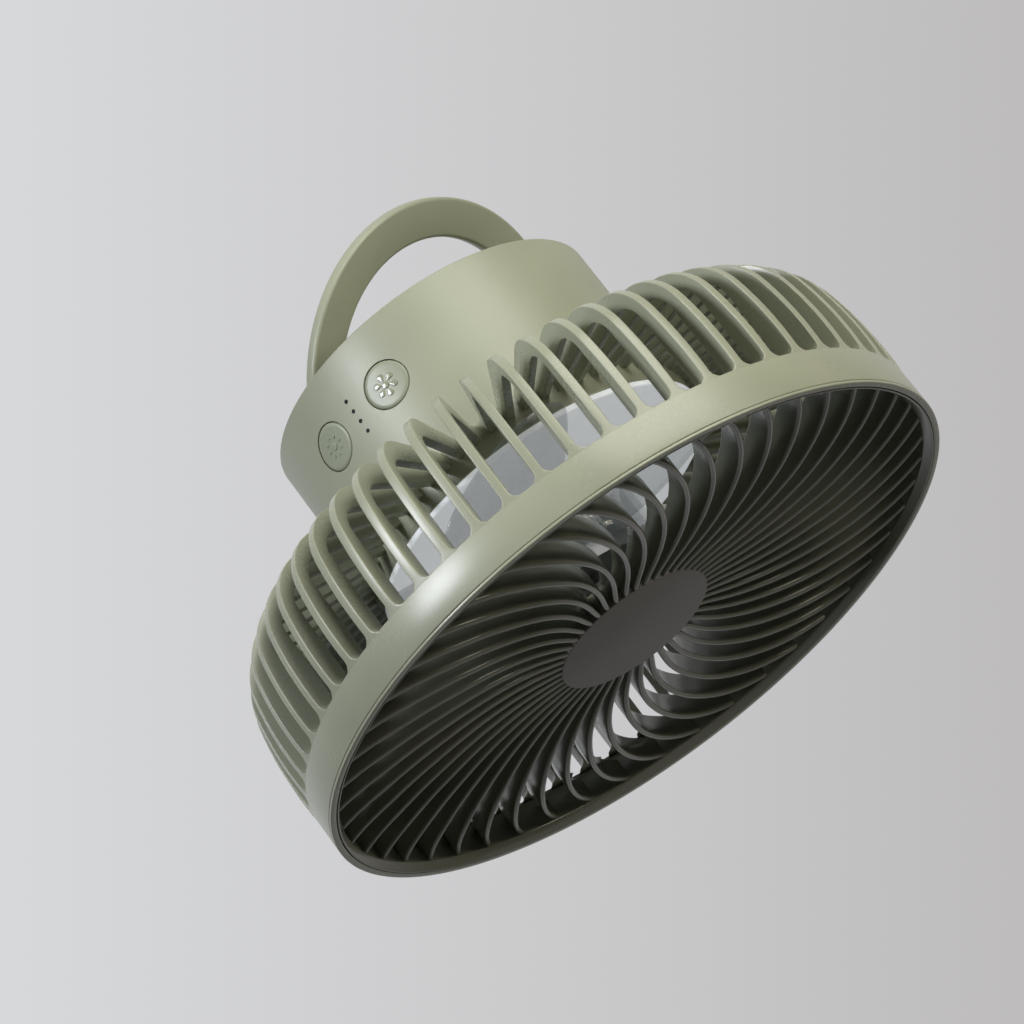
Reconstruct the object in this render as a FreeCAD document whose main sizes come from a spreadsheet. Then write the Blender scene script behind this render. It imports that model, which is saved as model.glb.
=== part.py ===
import FreeCAD, Part
import math
import os
import Sketcher

# Portable camping fan, standing face down: Z = 0 is the plane of the front rim, +Z runs to the rear
# along the fan's axis, and -Y is the side with the buttons and the row of charge lights.

doc = FreeCAD.newDocument("CampingFan")
sheet = doc.addObject("Spreadsheet::Sheet", "Sizes")
nodes = {}
rows = []


class Size:
    """A length from the sheet, or a sum on such lengths: a number, and the expression that gives it."""

    def __init__(self, number, text):
        self.number = number
        self.text = text

    def __float__(self):
        return float(self.number)

    def __add__(self, other):
        return joined(self, "+", other)

    def __radd__(self, other):
        return joined(other, "+", self)

    def __sub__(self, other):
        return joined(self, "-", other)

    def __rsub__(self, other):
        return joined(other, "-", self)

    def __mul__(self, other):
        return joined(self, "*", other)

    def __rmul__(self, other):
        return joined(other, "*", self)

    def __truediv__(self, other):
        return joined(self, "/", other)

    def __neg__(self):
        return joined(-1, "*", self)


def words(value):
    return value.text if isinstance(value, Size) else repr(value)


def joined(left, sign, right):
    a, b = float(left), float(right)
    number = {"+": a + b, "-": a - b, "*": a * b, "/": a / b if b else 0.0}[sign]
    return Size(number, f"({words(left)} {sign} {words(right)})")


def cell(alias, number):
    rows.append(alias)
    row = len(rows)
    sheet.set(f"A{row}", alias.replace("_", " "))
    sheet.set(f"B{row}", str(number))
    sheet.setAlias(f"B{row}", alias)
    return Size(number, f"Sizes.{alias}")


# Head: front rim, band and ribs
head_rad = cell("head_rad", 100)
bezel_high = cell("bezel_high", 1.0)
bezel_wide = cell("bezel_wide", 1.9)
bezel_bevel = cell("bezel_bevel", 0.5)
band_top = cell("band_top", 12.7)
rib_count = cell("rib_count", 60)
rib_wide = cell("rib_wide", 2.5)
rib_bulge = cell("rib_bulge", 0.45)
bulge_high = cell("bulge_high", 22)
rib_shift = cell("rib_shift", 1.2)
corner_rad = cell("corner_rad", 20)
corner_inset = cell("corner_inset", 21)
corner_high = cell("corner_high", 35.8)
corner_lean = cell("corner_lean", 12)
inner_rad = cell("inner_rad", 8.8)
inner_inset = cell("inner_inset", 14.4)
inner_high = cell("inner_high", 38.8)
dome_top = cell("dome_top", 57.4)
rib_root = cell("rib_root", 5.4)
rib_sink = cell("rib_sink", 0.05)
collar_rad = cell("collar_rad", 52.4)
collar_low = cell("collar_low", 47.0)
collar_wall = cell("collar_wall", 2.8)
bulkhead_thick = cell("bulkhead_thick", 3.0)
wire_hole_rad = cell("wire_hole_rad", 3.5)
snug = cell("snug", 0.2)
slip = cell("slip", 0.1)
hole_play = cell("hole_play", 0.3)
through_cut = cell("through_cut", 1.0)
seat_gap = cell("seat_gap", 0.1)
screw_clear = cell("screw_clear", 0.3)
sink_clear = cell("sink_clear", 0.2)
bite = cell("bite", 0.6)

# Front grille
vane_count = cell("vane_count", 48)
vane_thick = cell("vane_thick", 1.2)
vane_back = cell("vane_back", 10.0)
vane_shift = cell("vane_shift", 3.0)
vane_spans = cell("vane_spans", 7)
crown_hub = cell("crown_hub", 3.0)
crown_mid = cell("crown_mid", 2.3)
crown_mid_rad = cell("crown_mid_rad", 44)
crown_flat = cell("crown_flat", 1.25)
crown_flat_rad = cell("crown_flat_rad", 65)
crown_edge = cell("crown_edge", 14)
crown_rim = cell("crown_rim", 2.3)
rim_wide = cell("rim_wide", 2.1)
rim_slope = cell("rim_slope", 2.2)
sweep_hub = cell("sweep_hub", 3.3)
sweep_in_rad = cell("sweep_in_rad", 38)
sweep_mid = cell("sweep_mid", 3.8)
sweep_mid_rad = cell("sweep_mid_rad", 60)
sweep_far = cell("sweep_far", 10.4)
sweep_far_rad = cell("sweep_far_rad", 80)
sweep_rim = cell("sweep_rim", 18.1)
badge_rad = cell("badge_rad", 23.9)
badge_face = cell("badge_face", 2.9)
badge_thick = cell("badge_thick", 2.1)
badge_pin_rad = cell("badge_pin_rad", 3.9)
hub_plate = cell("hub_plate", 1.8)
hub_wall = cell("hub_wall", 2.6)

# Rear body
body_rad = cell("body_rad", 51.4)
body_wall = cell("body_wall", 2.4)
body_end = cell("body_end", 101.5)
rim_wall = cell("rim_wall", 1.5)
rim_bevel = cell("rim_bevel", 1.2)
recess_deep = cell("recess_deep", 4.1)
cover_thick = cell("cover_thick", 2.2)
island_rad = cell("island_rad", 37.8)
island_drop = cell("island_drop", 0.2)
boss_ring = cell("boss_ring", 45.5)
boss_rad = cell("boss_rad", 3.6)

# Bail
bail_thick = cell("bail_thick", 3.6)
bail_play = cell("bail_play", 0.4)
bail_lift = cell("bail_lift", 0.3)
bail_tilt = cell("bail_tilt", 46)
bail_turn = cell("bail_turn", -12)
bail_bevel = cell("bail_bevel", 0.8)
pin_rad = cell("pin_rad", 1.0)
pin_play = cell("pin_play", 0.05)
pin_grip = cell("pin_grip", 1.2)

# Buttons and lights
button_high = cell("button_high", 83.3)
button_side = cell("button_side", 12.1)
button_rad = cell("button_rad", 6.6)
button_play = cell("button_play", 0.15)
button_flange = cell("button_flange", 7.4)
flange_front = cell("flange_front", 44.3)
flange_thick = cell("flange_thick", 1.0)
stem_rad = cell("stem_rad", 2.0)
stem_long = cell("stem_long", 2.3)
press_travel = cell("press_travel", 0.8)
switch_high = cell("switch_high", 3.4)
switch_side = cell("switch_side", 6.0)
panel_thick = cell("panel_thick", 1.6)
panel_side = cell("panel_side", 40)
panel_tall = cell("panel_tall", 20)
light_rad = cell("light_rad", 0.55)
light_low = cell("light_low", 77.8)
light_step = cell("light_step", 3.57)
light_count = cell("light_count", 4)
bar_thick = cell("bar_thick", 1.2)
bar_side = cell("bar_side", 2.6)

# Motor
shaft_rad = cell("shaft_rad", 1.5)
shaft_front = cell("shaft_front", 16.8)
shaft_back = cell("shaft_back", 45.6)
clip_rad = cell("clip_rad", 2.8)
clip_thick = cell("clip_thick", 0.6)
bearing_rad = cell("bearing_rad", 4.0)
bearing_high = cell("bearing_high", 3.0)
fit_gap = cell("fit_gap", 0.02)
tube_wall = cell("tube_wall", 1.2)
tube_front = cell("tube_front", 28.5)
back_seat = cell("back_seat", 41.4)
mount_rad = cell("mount_rad", 14)
mount_front = cell("mount_front", 44.8)
flange_rad = cell("flange_rad", 20)
mount_flange = cell("mount_flange", 3.0)
core_rad = cell("core_rad", 12.2)
core_low = cell("core_low", 32.0)
core_high = cell("core_high", 7.0)
core_ring = cell("core_ring", 1.8)
tooth_wide = cell("tooth_wide", 2.0)
tooth_count = cell("tooth_count", 9)
coil_wall = cell("coil_wall", 0.8)
coil_end = cell("coil_end", 1.2)
coil_gap = cell("coil_gap", 0.05)
magnet_thick = cell("magnet_thick", 1.8)
magnet_high = cell("magnet_high", 13)
cup_rad = cell("cup_rad", 15.6)
cup_wall = cell("cup_wall", 1.0)
cup_front = cell("cup_front", 20.7)
cup_back = cell("cup_back", 42.6)
cup_boss = cell("cup_boss", 4.0)
cup_boss_high = cell("cup_boss_high", 6.3)
motor_board_thick = cell("motor_board_thick", 1.4)

# Impeller
hub_rad = cell("hub_rad", 22.5)
hub_front = cell("hub_front", 18.5)
hub_back = cell("hub_back", 43.6)
hub_skin = cell("hub_skin", 1.9)
nose_rad = cell("nose_rad", 14)
nose_slope = cell("nose_slope", 7.5)
blade_count = cell("blade_count", 5)
blade_shift = cell("blade_shift", -65)
blade_tip = cell("blade_tip", 85)
blade_thick = cell("blade_thick", 1.6)
blade_edge = cell("blade_edge", 0.36)
blade_spans = cell("blade_spans", 4)
root_chord = cell("root_chord", 25)
root_pitch = cell("root_pitch", 42)
root_high = cell("root_high", 32)
mid_chord = cell("mid_chord", 48)
mid_pitch = cell("mid_pitch", 26)
mid_high = cell("mid_high", 29)
tip_chord = cell("tip_chord", 54)
tip_pitch = cell("tip_pitch", 17)
tip_high = cell("tip_high", 26.5)
blade_camber = cell("blade_camber", 0.09)
nut_rad = cell("nut_rad", 5.2)
nut_high = cell("nut_high", 3.5)

# Lamp
lens_in = cell("lens_in", 21)
lens_face = cell("lens_face", 45.2)
lens_wall = cell("lens_wall", 1.5)
lens_skirt = cell("lens_skirt", 3.0)
lens_bevel = cell("lens_bevel", 0.9)
lamp_in = cell("lamp_in", 25)
lamp_out = cell("lamp_out", 41.5)
lamp_thick = cell("lamp_thick", 1.6)
chip_ring = cell("chip_ring", 34)
chip_count = cell("chip_count", 12)
chip_side = cell("chip_side", 3.0)
chip_high = cell("chip_high", 0.9)

# Power
cell_rad = cell("cell_rad", 9.1)
cell_long = cell("cell_long", 65)
cell_play = cell("cell_play", 0.3)
cradle_base = cell("cradle_base", 2.6)
cradle_wall = cell("cradle_wall", 1.8)
cradle_saddle = cell("cradle_saddle", 5.0)
cradle_end = cell("cradle_end", 40)
board_rad = cell("board_rad", 41.2)
board_thick = cell("board_thick", 1.6)
board_air = cell("board_air", 0.9)
socket_wide = cell("socket_wide", 9.0)
socket_tall = cell("socket_tall", 3.2)
socket_long = cell("socket_long", 7.3)
socket_play = cell("socket_play", 0.3)
insert_rad = cell("insert_rad", 5.0)
insert_bore = cell("insert_bore", 2.6)
insert_long = cell("insert_long", 9.0)
insert_wall = cell("insert_wall", 3.0)

# Screws
screw_rad = cell("screw_rad", 1.2)
screw_head = cell("screw_head", 2.4)
screw_head_high = cell("screw_head_high", 1.3)
screw_long = cell("screw_long", 12)
screw_count = cell("screw_count", 4)
screw_play = cell("screw_play", 0.05)
motor_screw_ring = cell("motor_screw_ring", 17)
motor_screw_count = cell("motor_screw_count", 3)
motor_screw_long = cell("motor_screw_long", 5.6)
doc.recompute()

# Places that several pieces share
rim_out = head_rad - bezel_wide - snug
rim_in = rim_out - rim_wide
badge_seat = badge_face + badge_thick
corner_at = head_rad - corner_inset
inner_at = head_rad - inner_inset
bulkhead_low = dome_top - bulkhead_thick
body_in = body_rad - body_wall
recess_rad = body_rad - rim_wall
recess_floor = body_end - recess_deep
cover_low = recess_floor - cover_thick
island_top = body_end - island_drop
bail_out = recess_rad - bail_play
bail_in = island_rad + bail_play
pivot_high = recess_floor + bail_lift + bail_thick / 2
switch_top = flange_front - flange_thick - stem_long - press_travel - slip
panel_face = switch_top - switch_high
cell_high = dome_top + cradle_base + cell_rad + cell_play
board_low = cell_high + cell_rad + cell_play + board_air
board_flat = panel_face - panel_thick - hole_play
mount_back = bulkhead_low


def bind(thing, **properties):
    for name, value in properties.items():
        if isinstance(value, Size):
            thing.setExpression(name, value.text)
        else:
            setattr(thing, name, value)
    return thing


def place(thing, at=(0, 0, 0), turn=None):
    """Puts a thing at a point whose coordinates may be sizes, after an optional rotation."""
    thing.Placement = FreeCAD.Placement(FreeCAD.Vector(*[float(c) for c in at]), turn or FreeCAD.Rotation())
    for axis, coordinate in zip("xyz", at):
        if isinstance(coordinate, Size):
            thing.setExpression(f"Placement.Base.{axis}", coordinate.text)
    return thing


def about_z(degrees):
    return FreeCAD.Rotation(FreeCAD.Vector(0, 0, 1), float(degrees))


facing_back = FreeCAD.Rotation(FreeCAD.Vector(1, 0, 0), -90)
along_x = FreeCAD.Rotation(FreeCAD.Vector(0, 1, 0), 90)


def turned(name, outline, sweep=360):
    """A body turned about Z from a closed outline of (radius, height) corners, each bound to the sheet."""
    body = doc.addObject("PartDesign::Body", name)
    sketch = body.newObject("Sketcher::SketchObject", name + "Outline")
    plane = [f for f in body.Origin.OriginFeatures if f.Role == "XZ_Plane"][0]
    sketch.AttachmentSupport = [(plane, "")]
    sketch.MapMode = "FlatFace"
    corners = [FreeCAD.Vector(float(r), float(h), 0) for r, h in outline]
    count = len(corners)
    for i in range(count):
        sketch.addGeometry(Part.LineSegment(corners[i], corners[(i + 1) % count]), False)
    for i in range(count):
        sketch.addConstraint(Sketcher.Constraint("Coincident", i, 2, (i + 1) % count, 1))
    for i, corner in enumerate(outline):
        for kind, way in (("DistanceX", 0), ("DistanceY", 1)):
            value = corner[way]
            if way == 0 and float(value) == 0:
                sketch.addConstraint(Sketcher.Constraint("PointOnObject", i, 1, -2))
                continue
            index = sketch.addConstraint(Sketcher.Constraint(kind, -1, 1, i, 1, float(value)))
            if isinstance(value, Size):
                sketch.setExpression(f"Constraints[{index}]", value.text)
    turn = body.newObject("PartDesign::Revolution", name + "Turn")
    turn.Profile = sketch
    turn.ReferenceAxis = (sketch, ["V_Axis"])
    turn.Angle = sweep
    return body


def bevelled(body, size, rims):
    """Bevels the circular edges of a turned body that lie at the given (radius, height) places."""
    doc.recompute()
    base = body.Tip
    names = []
    for number, edge in enumerate(base.Shape.Edges, 1):
        if not isinstance(edge.Curve, Part.Circle):
            continue
        for r, h in rims:
            if abs(edge.Curve.Radius - float(r)) < 0.01 and abs(edge.Curve.Center.z - float(h)) < 0.01:
                names.append(f"Edge{number}")
    bevel = body.newObject("PartDesign::Chamfer", body.Name + "Bevel")
    bevel.Base = (base, names)
    bind(bevel, Size=size)
    return body


def rod(name, radius, height, at, turn=None):
    thing = bind(doc.addObject("Part::Cylinder", name), Radius=radius, Height=height)
    return place(thing, at, turn)


def block(name, length, width, height, at, turn=None):
    thing = bind(doc.addObject("Part::Box", name), Length=length, Width=width, Height=height)
    return place(thing, at, turn)


def fused(name, pieces):
    thing = doc.addObject("Part::MultiFuse", name)
    thing.Shapes = pieces
    thing.Refine = True
    return thing


def together(name, pieces):
    thing = doc.addObject("Part::Compound", name)
    thing.Links = pieces
    return thing


def cut(name, base, tools):
    thing = doc.addObject("Part::Cut", name)
    thing.Base = base
    thing.Tool = tools[0] if len(tools) == 1 else together(name + "Tools", tools)
    return thing


def formed(name, shape):
    """A piece whose form neither a body nor a primitive gives; its sizes are read from the sheet above."""
    thing = doc.addObject("Part::Feature", name)
    thing.Shape = shape
    return thing


def repeated(shape, count, first=0.0):
    """Copies of a shape, evenly spaced about Z, as one compound."""
    copies = []
    for i in range(round(float(count))):
        copy = shape.copy()
        copy.rotate(FreeCAD.Vector(0, 0, 0), FreeCAD.Vector(0, 0, 1), float(first) + i * 360 / float(count))
        copies.append(copy)
    return Part.makeCompound(copies)


def around(radius, degrees):
    """X and Y of a place at a radius and an angle about Z, still bound to the radius."""
    return radius * math.cos(math.radians(degrees)), radius * math.sin(math.radians(degrees))


def keep(label, thing):
    thing.Label = label
    nodes[label] = thing
    return thing


def tangent_point(outside, centre, radius):
    """Where the line from a point touches a circle in the (radius, height) plane, on the upper side."""
    away = outside - centre
    reach = math.acos(radius / away.Length)
    angle = math.atan2(away.y, away.x) - reach
    return on_arc(centre, radius, angle)


def in_section(point):
    return FreeCAD.Vector(point.x, 0, point.y)


def on_arc(centre, radius, angle):
    return centre + FreeCAD.Vector(math.cos(angle), math.sin(angle), 0) * radius


def rib_shape():
    """One arched rib in an axial plane: up the bulging side, round the corner, over the dome to the collar."""
    outer, inner = float(corner_rad), float(inner_rad)
    outer_centre = FreeCAD.Vector(float(corner_at), float(corner_high), 0)
    inner_centre = FreeCAD.Vector(float(inner_at), float(inner_high), 0)
    foot = float(band_top - bite)
    root = float(collar_rad - bite)
    outer_foot = FreeCAD.Vector(float(head_rad - rib_sink), foot, 0)
    bow = FreeCAD.Vector(float(head_rad + rib_bulge), float(bulge_high), 0)
    lean = math.radians(float(corner_lean))
    knee = math.radians(45)
    outer_side = on_arc(outer_centre, outer, lean)
    outer_knee = on_arc(outer_centre, outer, knee)
    outer_root = FreeCAD.Vector(root, float(dome_top), 0)
    outer_touch = tangent_point(outer_root, outer_centre, outer)
    inner_root = FreeCAD.Vector(root, float(dome_top - rib_root), 0)
    inner_touch = tangent_point(inner_root, inner_centre, inner)
    inner_knee = on_arc(inner_centre, inner, knee)
    inner_side = on_arc(inner_centre, inner, 0)
    inner_foot = FreeCAD.Vector(inner_side.x, foot, 0)
    path = [
        Part.Arc(in_section(outer_foot), in_section(bow), in_section(outer_side)).toShape(),
        Part.Arc(in_section(outer_side), in_section(outer_knee), in_section(outer_touch)).toShape(),
        Part.LineSegment(in_section(outer_touch), in_section(outer_root)).toShape(),
        Part.LineSegment(in_section(outer_root), in_section(inner_root)).toShape(),
        Part.LineSegment(in_section(inner_root), in_section(inner_touch)).toShape(),
        Part.Arc(in_section(inner_touch), in_section(inner_knee), in_section(inner_side)).toShape(),
        Part.LineSegment(in_section(inner_side), in_section(inner_foot)).toShape(),
        Part.LineSegment(in_section(inner_foot), in_section(outer_foot)).toShape(),
    ]
    half = FreeCAD.Vector(0, float(rib_wide) / 2, 0)
    face = Part.Face(Part.Wire(path))
    face.translate(-half)
    return face.extrude(half * 2)


def crown_height(radius):
    """How far back the grille's front surface lies at a radius: a shallow dome with a raised hub end."""
    places = [
        (float(badge_rad), crown_hub),
        (float(crown_mid_rad), crown_mid),
        (float(crown_flat_rad), crown_flat),
        (float(rim_in) - float(crown_edge), crown_flat),
        (float(rim_in), crown_rim),
    ]
    for (r0, h0), (r1, h1) in zip(places, places[1:]):
        if radius <= r1:
            share = max(0.0, (radius - r0) / (r1 - r0))
            return float(h0) + (float(h1) - float(h0)) * share
    return float(crown_rim)


def vane_shape():
    """One S-shaped grille vane: straight spans between upright sections along a curve in plan."""
    turns = [
        (float(badge_rad - hub_wall / 2), -float(sweep_hub)),
        (float(sweep_in_rad), 0.0),
        (float(sweep_mid_rad), -float(sweep_mid)),
        (float(sweep_far_rad), -float(sweep_far)),
        (float(rim_out - rim_wide / 2), -float(sweep_rim)),
    ]
    middle = Part.BSplineCurve()
    middle.interpolate([
        FreeCAD.Vector(r * math.cos(math.radians(a)), r * math.sin(math.radians(a)), 0) for r, a in turns
    ])
    back = FreeCAD.Vector(0, 0, float(vane_back))
    spans = round(float(vane_spans))
    sections = []
    for i in range(spans + 1):
        share = i / spans
        along = middle.FirstParameter * (1 - share) + middle.LastParameter * share
        point = middle.value(along)
        forward = middle.tangent(along)[0]
        aside = FreeCAD.Vector(-forward.y, forward.x, 0) * (float(vane_thick) / 2)
        front = FreeCAD.Vector(0, 0, crown_height(point.Length))
        corners = [point + aside + front, point - aside + front, point - aside + back, point + aside + back]
        sections.append(Part.makePolygon(corners + corners[:1]))
    under_badge = Part.makeCylinder(float(badge_rad + snug), float(badge_seat))
    return Part.makeLoft(sections, True, True).cut(under_badge)


def blade_section(distance, chord, pitch, height):
    """A cambered blade section in the plane X = distance, turned by its pitch about the X axis."""
    half = float(chord) / 2
    thick = float(blade_thick) / 2
    lift = float(chord) * float(blade_camber)
    edge = float(blade_edge)
    corners = []
    for across, up in ((-half, edge), (0, lift + thick), (half, edge), (half, -edge), (0, lift - thick), (-half, -edge)):
        lean = math.radians(float(pitch))
        y = across * math.cos(lean) - up * math.sin(lean)
        z = across * math.sin(lean) + up * math.cos(lean)
        corners.append(FreeCAD.Vector(float(distance), y, z + float(height)))
    a, b, c, d, e, f = corners
    return Part.Wire([
        Part.Arc(a, b, c).toShape(),
        Part.LineSegment(c, d).toShape(),
        Part.Arc(d, e, f).toShape(),
        Part.LineSegment(f, a).toShape(),
    ])


def through(first, middle, last, share):
    """A value on the parabola that has the three given values at the start, the middle and the end."""
    a, b, c = float(first), float(middle), float(last)
    return a * (1 - share) * (1 - 2 * share) + b * 4 * share * (1 - share) + c * share * (2 * share - 1)


def blade_shape():
    """One twisted blade that widens and flattens from the hub to its tip."""
    start = hub_rad - hub_skin / 2
    spans = round(float(blade_spans))
    sections = []
    for i in range(spans + 1):
        share = i / spans
        sections.append(blade_section(
            float(start) + float(blade_tip - start) * share,
            through(root_chord, mid_chord, tip_chord, share),
            through(root_pitch, mid_pitch, tip_pitch, share),
            through(root_high, mid_high, tip_high, share),
        ))
    return Part.makeLoft(sections, True, True)


def build_head():
    """Rear cage, front bezel, front grille and the plain badge on its hub."""
    cage_ring = turned("CageBand", [
        (head_rad - bezel_wide, bezel_high),
        (head_rad, bezel_high),
        (head_rad, band_top),
        (head_rad - bezel_wide, band_top),
    ])
    collar_in = collar_rad - collar_wall
    collar = turned("CageCollar", [
        (wire_hole_rad, bulkhead_low),
        (collar_in, bulkhead_low),
        (collar_in, collar_low),
        (collar_rad, collar_low),
        (collar_rad, dome_top),
        (wire_hole_rad, dome_top),
    ])
    ribs = formed("CageRibs", repeated(rib_shape(), rib_count, rib_shift))
    blank = fused("CageBlank", [cage_ring, collar, ribs])
    holes = []
    for i in range(round(float(screw_count))):
        x, y = around(boss_ring, 45 + 360 / float(screw_count) * i)
        hole = screw_rad + screw_clear
        holes.append(rod(
            f"CageHole{i}", hole, bulkhead_thick + 2 * through_cut, (x, y, bulkhead_low - through_cut)
        ))
    for i in range(round(float(motor_screw_count))):
        x, y = around(motor_screw_ring, 30 + 360 / float(motor_screw_count) * i)
        hole = screw_rad + screw_play
        holes.append(rod(
            f"MotorHole{i}", hole, bulkhead_thick + 2 * through_cut, (x, y, bulkhead_low - through_cut)
        ))
    keep("rear_cage", cut("Cage", blank, holes))

    bezel = turned("Bezel", [
        (head_rad - bezel_wide, 0),
        (head_rad, 0),
        (head_rad, bezel_high),
        (head_rad - bezel_wide, bezel_high),
    ])
    keep("front_bezel", bevelled(bezel, bezel_bevel, [(head_rad, 0)]))

    rim = turned("GrilleRim", [
        (rim_out, 0),
        (rim_out, vane_back + 1),
        (rim_in, vane_back + 1),
        (rim_in, rim_slope),
        (rim_out - 0.4, 0),
    ])
    hub_out = badge_rad - 0.5
    hub = turned("GrilleHub", [
        (badge_pin_rad + seat_gap, badge_seat),
        (hub_out, badge_seat),
        (hub_out, vane_back),
        (hub_out - hub_wall, vane_back),
        (hub_out - hub_wall, badge_seat + hub_plate),
        (badge_pin_rad + seat_gap, badge_seat + hub_plate),
    ])
    vanes = formed("GrilleVanes", repeated(vane_shape(), vane_count, vane_shift))
    keep("front_grille", fused("Grille", [rim, hub, vanes]))

    badge = turned("Badge", [
        (0, badge_face),
        (badge_rad - 0.4, badge_face),
        (badge_rad, badge_face + 0.4),
        (badge_rad, badge_seat),
        (badge_pin_rad, badge_seat),
        (badge_pin_rad, badge_seat + hub_plate),
        (0, badge_seat + hub_plate),
    ])
    keep("hub_cap", badge)


def screw(name, shank_from, length, head_side):
    """A pan-head screw turned about Z. The head lies on the side of shank_from that head_side gives."""
    top = shank_from + head_side * screw_head_high
    end = shank_from - head_side * length
    return turned(name, [
        (0, top),
        (screw_head, top),
        (screw_head, shank_from),
        (screw_rad, shank_from),
        (screw_rad, end),
        (0, end),
    ])


def screw_group(label, one, ring, count, first):
    """One node of equal screws, evenly spaced on a ring."""
    doc.recompute()
    shape = one.Shape.copy()
    shape.translate(FreeCAD.Vector(float(ring), 0, 0))
    return keep(label, formed(label, repeated(shape, count, first)))


def build_body():
    """The cylindrical rear housing with its screw bosses, and the cover with the bail's recess."""
    shell = turned("Shell", [
        (body_in, dome_top),
        (body_rad, dome_top),
        (body_rad, body_end),
        (recess_rad, body_end),
        (recess_rad, cover_low),
        (body_in, cover_low),
    ])
    bevelled(shell, rim_bevel, [(body_rad, body_end)])
    bosses = []
    tools = []
    for i in range(round(float(screw_count))):
        x, y = around(boss_ring, 45 + 360 / float(screw_count) * i)
        bosses.append(rod(f"Boss{i}", boss_rad, cover_low - dome_top, (x, y, dome_top)))
        boss_deep = cover_low - dome_top + 2 * through_cut
        tools.append(rod(f"BossHole{i}", screw_rad + screw_play, boss_deep, (x, y, dome_top - through_cut)))
    outside = turned("Outside", [
        (body_in + 0.5, dome_top),
        (body_rad + boss_rad, dome_top),
        (body_rad + boss_rad, cover_low),
        (body_in + 0.5, cover_low),
    ])
    trimmed = cut("BossesTrimmed", together("Bosses", bosses), [outside])
    blank = fused("ShellBlank", [shell, trimmed])
    for side, sign in (("Fan", 1), ("Light", -1)):
        at = (button_side * sign, -(body_rad + through_cut), button_high)
        tools.append(rod(side + "Hole", button_rad + button_play, body_rad * 0.35, at, facing_back))
    for i in range(round(float(light_count))):
        at = (0, -(body_rad + through_cut), light_low + light_step * i)
        tools.append(rod(f"LightHole{i}", light_rad + 0.05, body_wall + 3, at, facing_back))
    socket_at = (-(socket_wide / 2 + socket_play), body_in - 3, board_low + board_thick - socket_play)
    tools.append(block("SocketHole", socket_wide + 2 * socket_play, body_wall + 5, socket_tall + 2 * socket_play, socket_at))
    for i, degrees in enumerate((90 + float(bail_turn), -90 + float(bail_turn))):
        x, y = around(recess_rad - through_cut, degrees)
        turn = FreeCAD.Rotation(FreeCAD.Vector(0, 0, 1), degrees) * along_x
        tools.append(rod(
            f"RimPinHole{i}", pin_rad + fit_gap, pin_grip + through_cut, (x, y, pivot_high), turn
        ))
    keep("body_shell", cut("BodyShell", blank, tools))

    insert_low = island_top - insert_long
    cover = turned("Cover", [
        (insert_rad + fit_gap, insert_low),
        (insert_rad + insert_wall, insert_low),
        (insert_rad + insert_wall, island_top - cover_thick),
        (island_rad - cover_thick, island_top - cover_thick),
        (island_rad - cover_thick, cover_low),
        (recess_rad - snug, cover_low),
        (recess_rad - snug, recess_floor),
        (island_rad, recess_floor),
        (island_rad, island_top),
        (insert_rad + fit_gap, island_top),
    ])
    bevelled(cover, bail_bevel, [(island_rad, island_top)])
    tools = []
    for i in range(round(float(screw_count))):
        x, y = around(boss_ring, 45 + 360 / float(screw_count) * i)
        seat = recess_floor - screw_head_high - seat_gap
        tools.append(rod(
            f"CoverHole{i}", screw_rad + screw_clear, cover_thick + 2 * through_cut, (x, y, cover_low - through_cut)
        ))
        tools.append(rod(
            f"CoverSink{i}", screw_head + sink_clear, screw_head_high + through_cut, (x, y, seat)
        ))
    for i, degrees in enumerate((90 + float(bail_turn), -90 + float(bail_turn))):
        x, y = around(island_rad - cover_thick - through_cut, degrees)
        turn = FreeCAD.Rotation(FreeCAD.Vector(0, 0, 1), degrees) * along_x
        island_deep = cover_thick + 2 * through_cut
        tools.append(rod(f"IslandPinHole{i}", pin_rad + fit_gap, island_deep, (x, y, pivot_high), turn))
    keep("rear_cover", cut("RearCover", cover, tools))

    keep("tripod_insert", turned("Insert", [
        (insert_bore, insert_low),
        (insert_rad, insert_low),
        (insert_rad, island_top),
        (insert_bore, island_top),
    ]))
    down = screw("CageScrew", bulkhead_low, screw_long, -1)
    screw_group("cage_screws", down, boss_ring, screw_count, 45)
    up = screw("CoverScrew", recess_floor - screw_head_high - seat_gap, screw_long, 1)
    screw_group("cover_screws", up, boss_ring, screw_count, 45)


def build_bail():
    """The flat half-ring handle that folds into the rear recess, and the two pins it turns on."""
    plate = turned("BailPlate", [
        (bail_in, -bail_thick / 2),
        (bail_out, -bail_thick / 2),
        (bail_out, bail_thick / 2),
        (bail_in, bail_thick / 2),
    ], 180)
    corners = [(r, bail_thick / 2 * side) for r in (bail_in, bail_out) for side in (1, -1)]
    bevelled(plate, bail_bevel, corners)
    place(plate, (0, 0, 0), about_z(-90))
    ends = []
    bores = []
    for i, sign in enumerate((1, -1)):
        start = bail_in if sign > 0 else -bail_out
        ends.append(rod(f"BailEnd{i}", bail_thick / 2, bail_out - bail_in, (0, start, 0), facing_back))
        bores.append(rod(f"BailBore{i}", pin_rad + pin_play, bail_out - bail_in + 2, (0, start - 1, 0), facing_back))
    bail = cut("BailBored", fused("BailBody", [plate] + ends), bores)
    turn = about_z(bail_turn) * FreeCAD.Rotation(FreeCAD.Vector(0, 1, 0), float(bail_tilt) - 90)
    place(bail, (0, 0, pivot_high), turn)
    keep("bail", bail)

    pins = []
    start = island_rad - cover_thick
    length = recess_rad + pin_grip - start
    for i, degrees in enumerate((90 + float(bail_turn), -90 + float(bail_turn))):
        x, y = around(start, degrees)
        turn = FreeCAD.Rotation(FreeCAD.Vector(0, 0, 1), degrees) * along_x
        pins.append(rod(f"BailPin{i}", pin_rad, length, (x, y, pivot_high), turn))
    keep("bail_pins", together("BailPins", pins))


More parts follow.
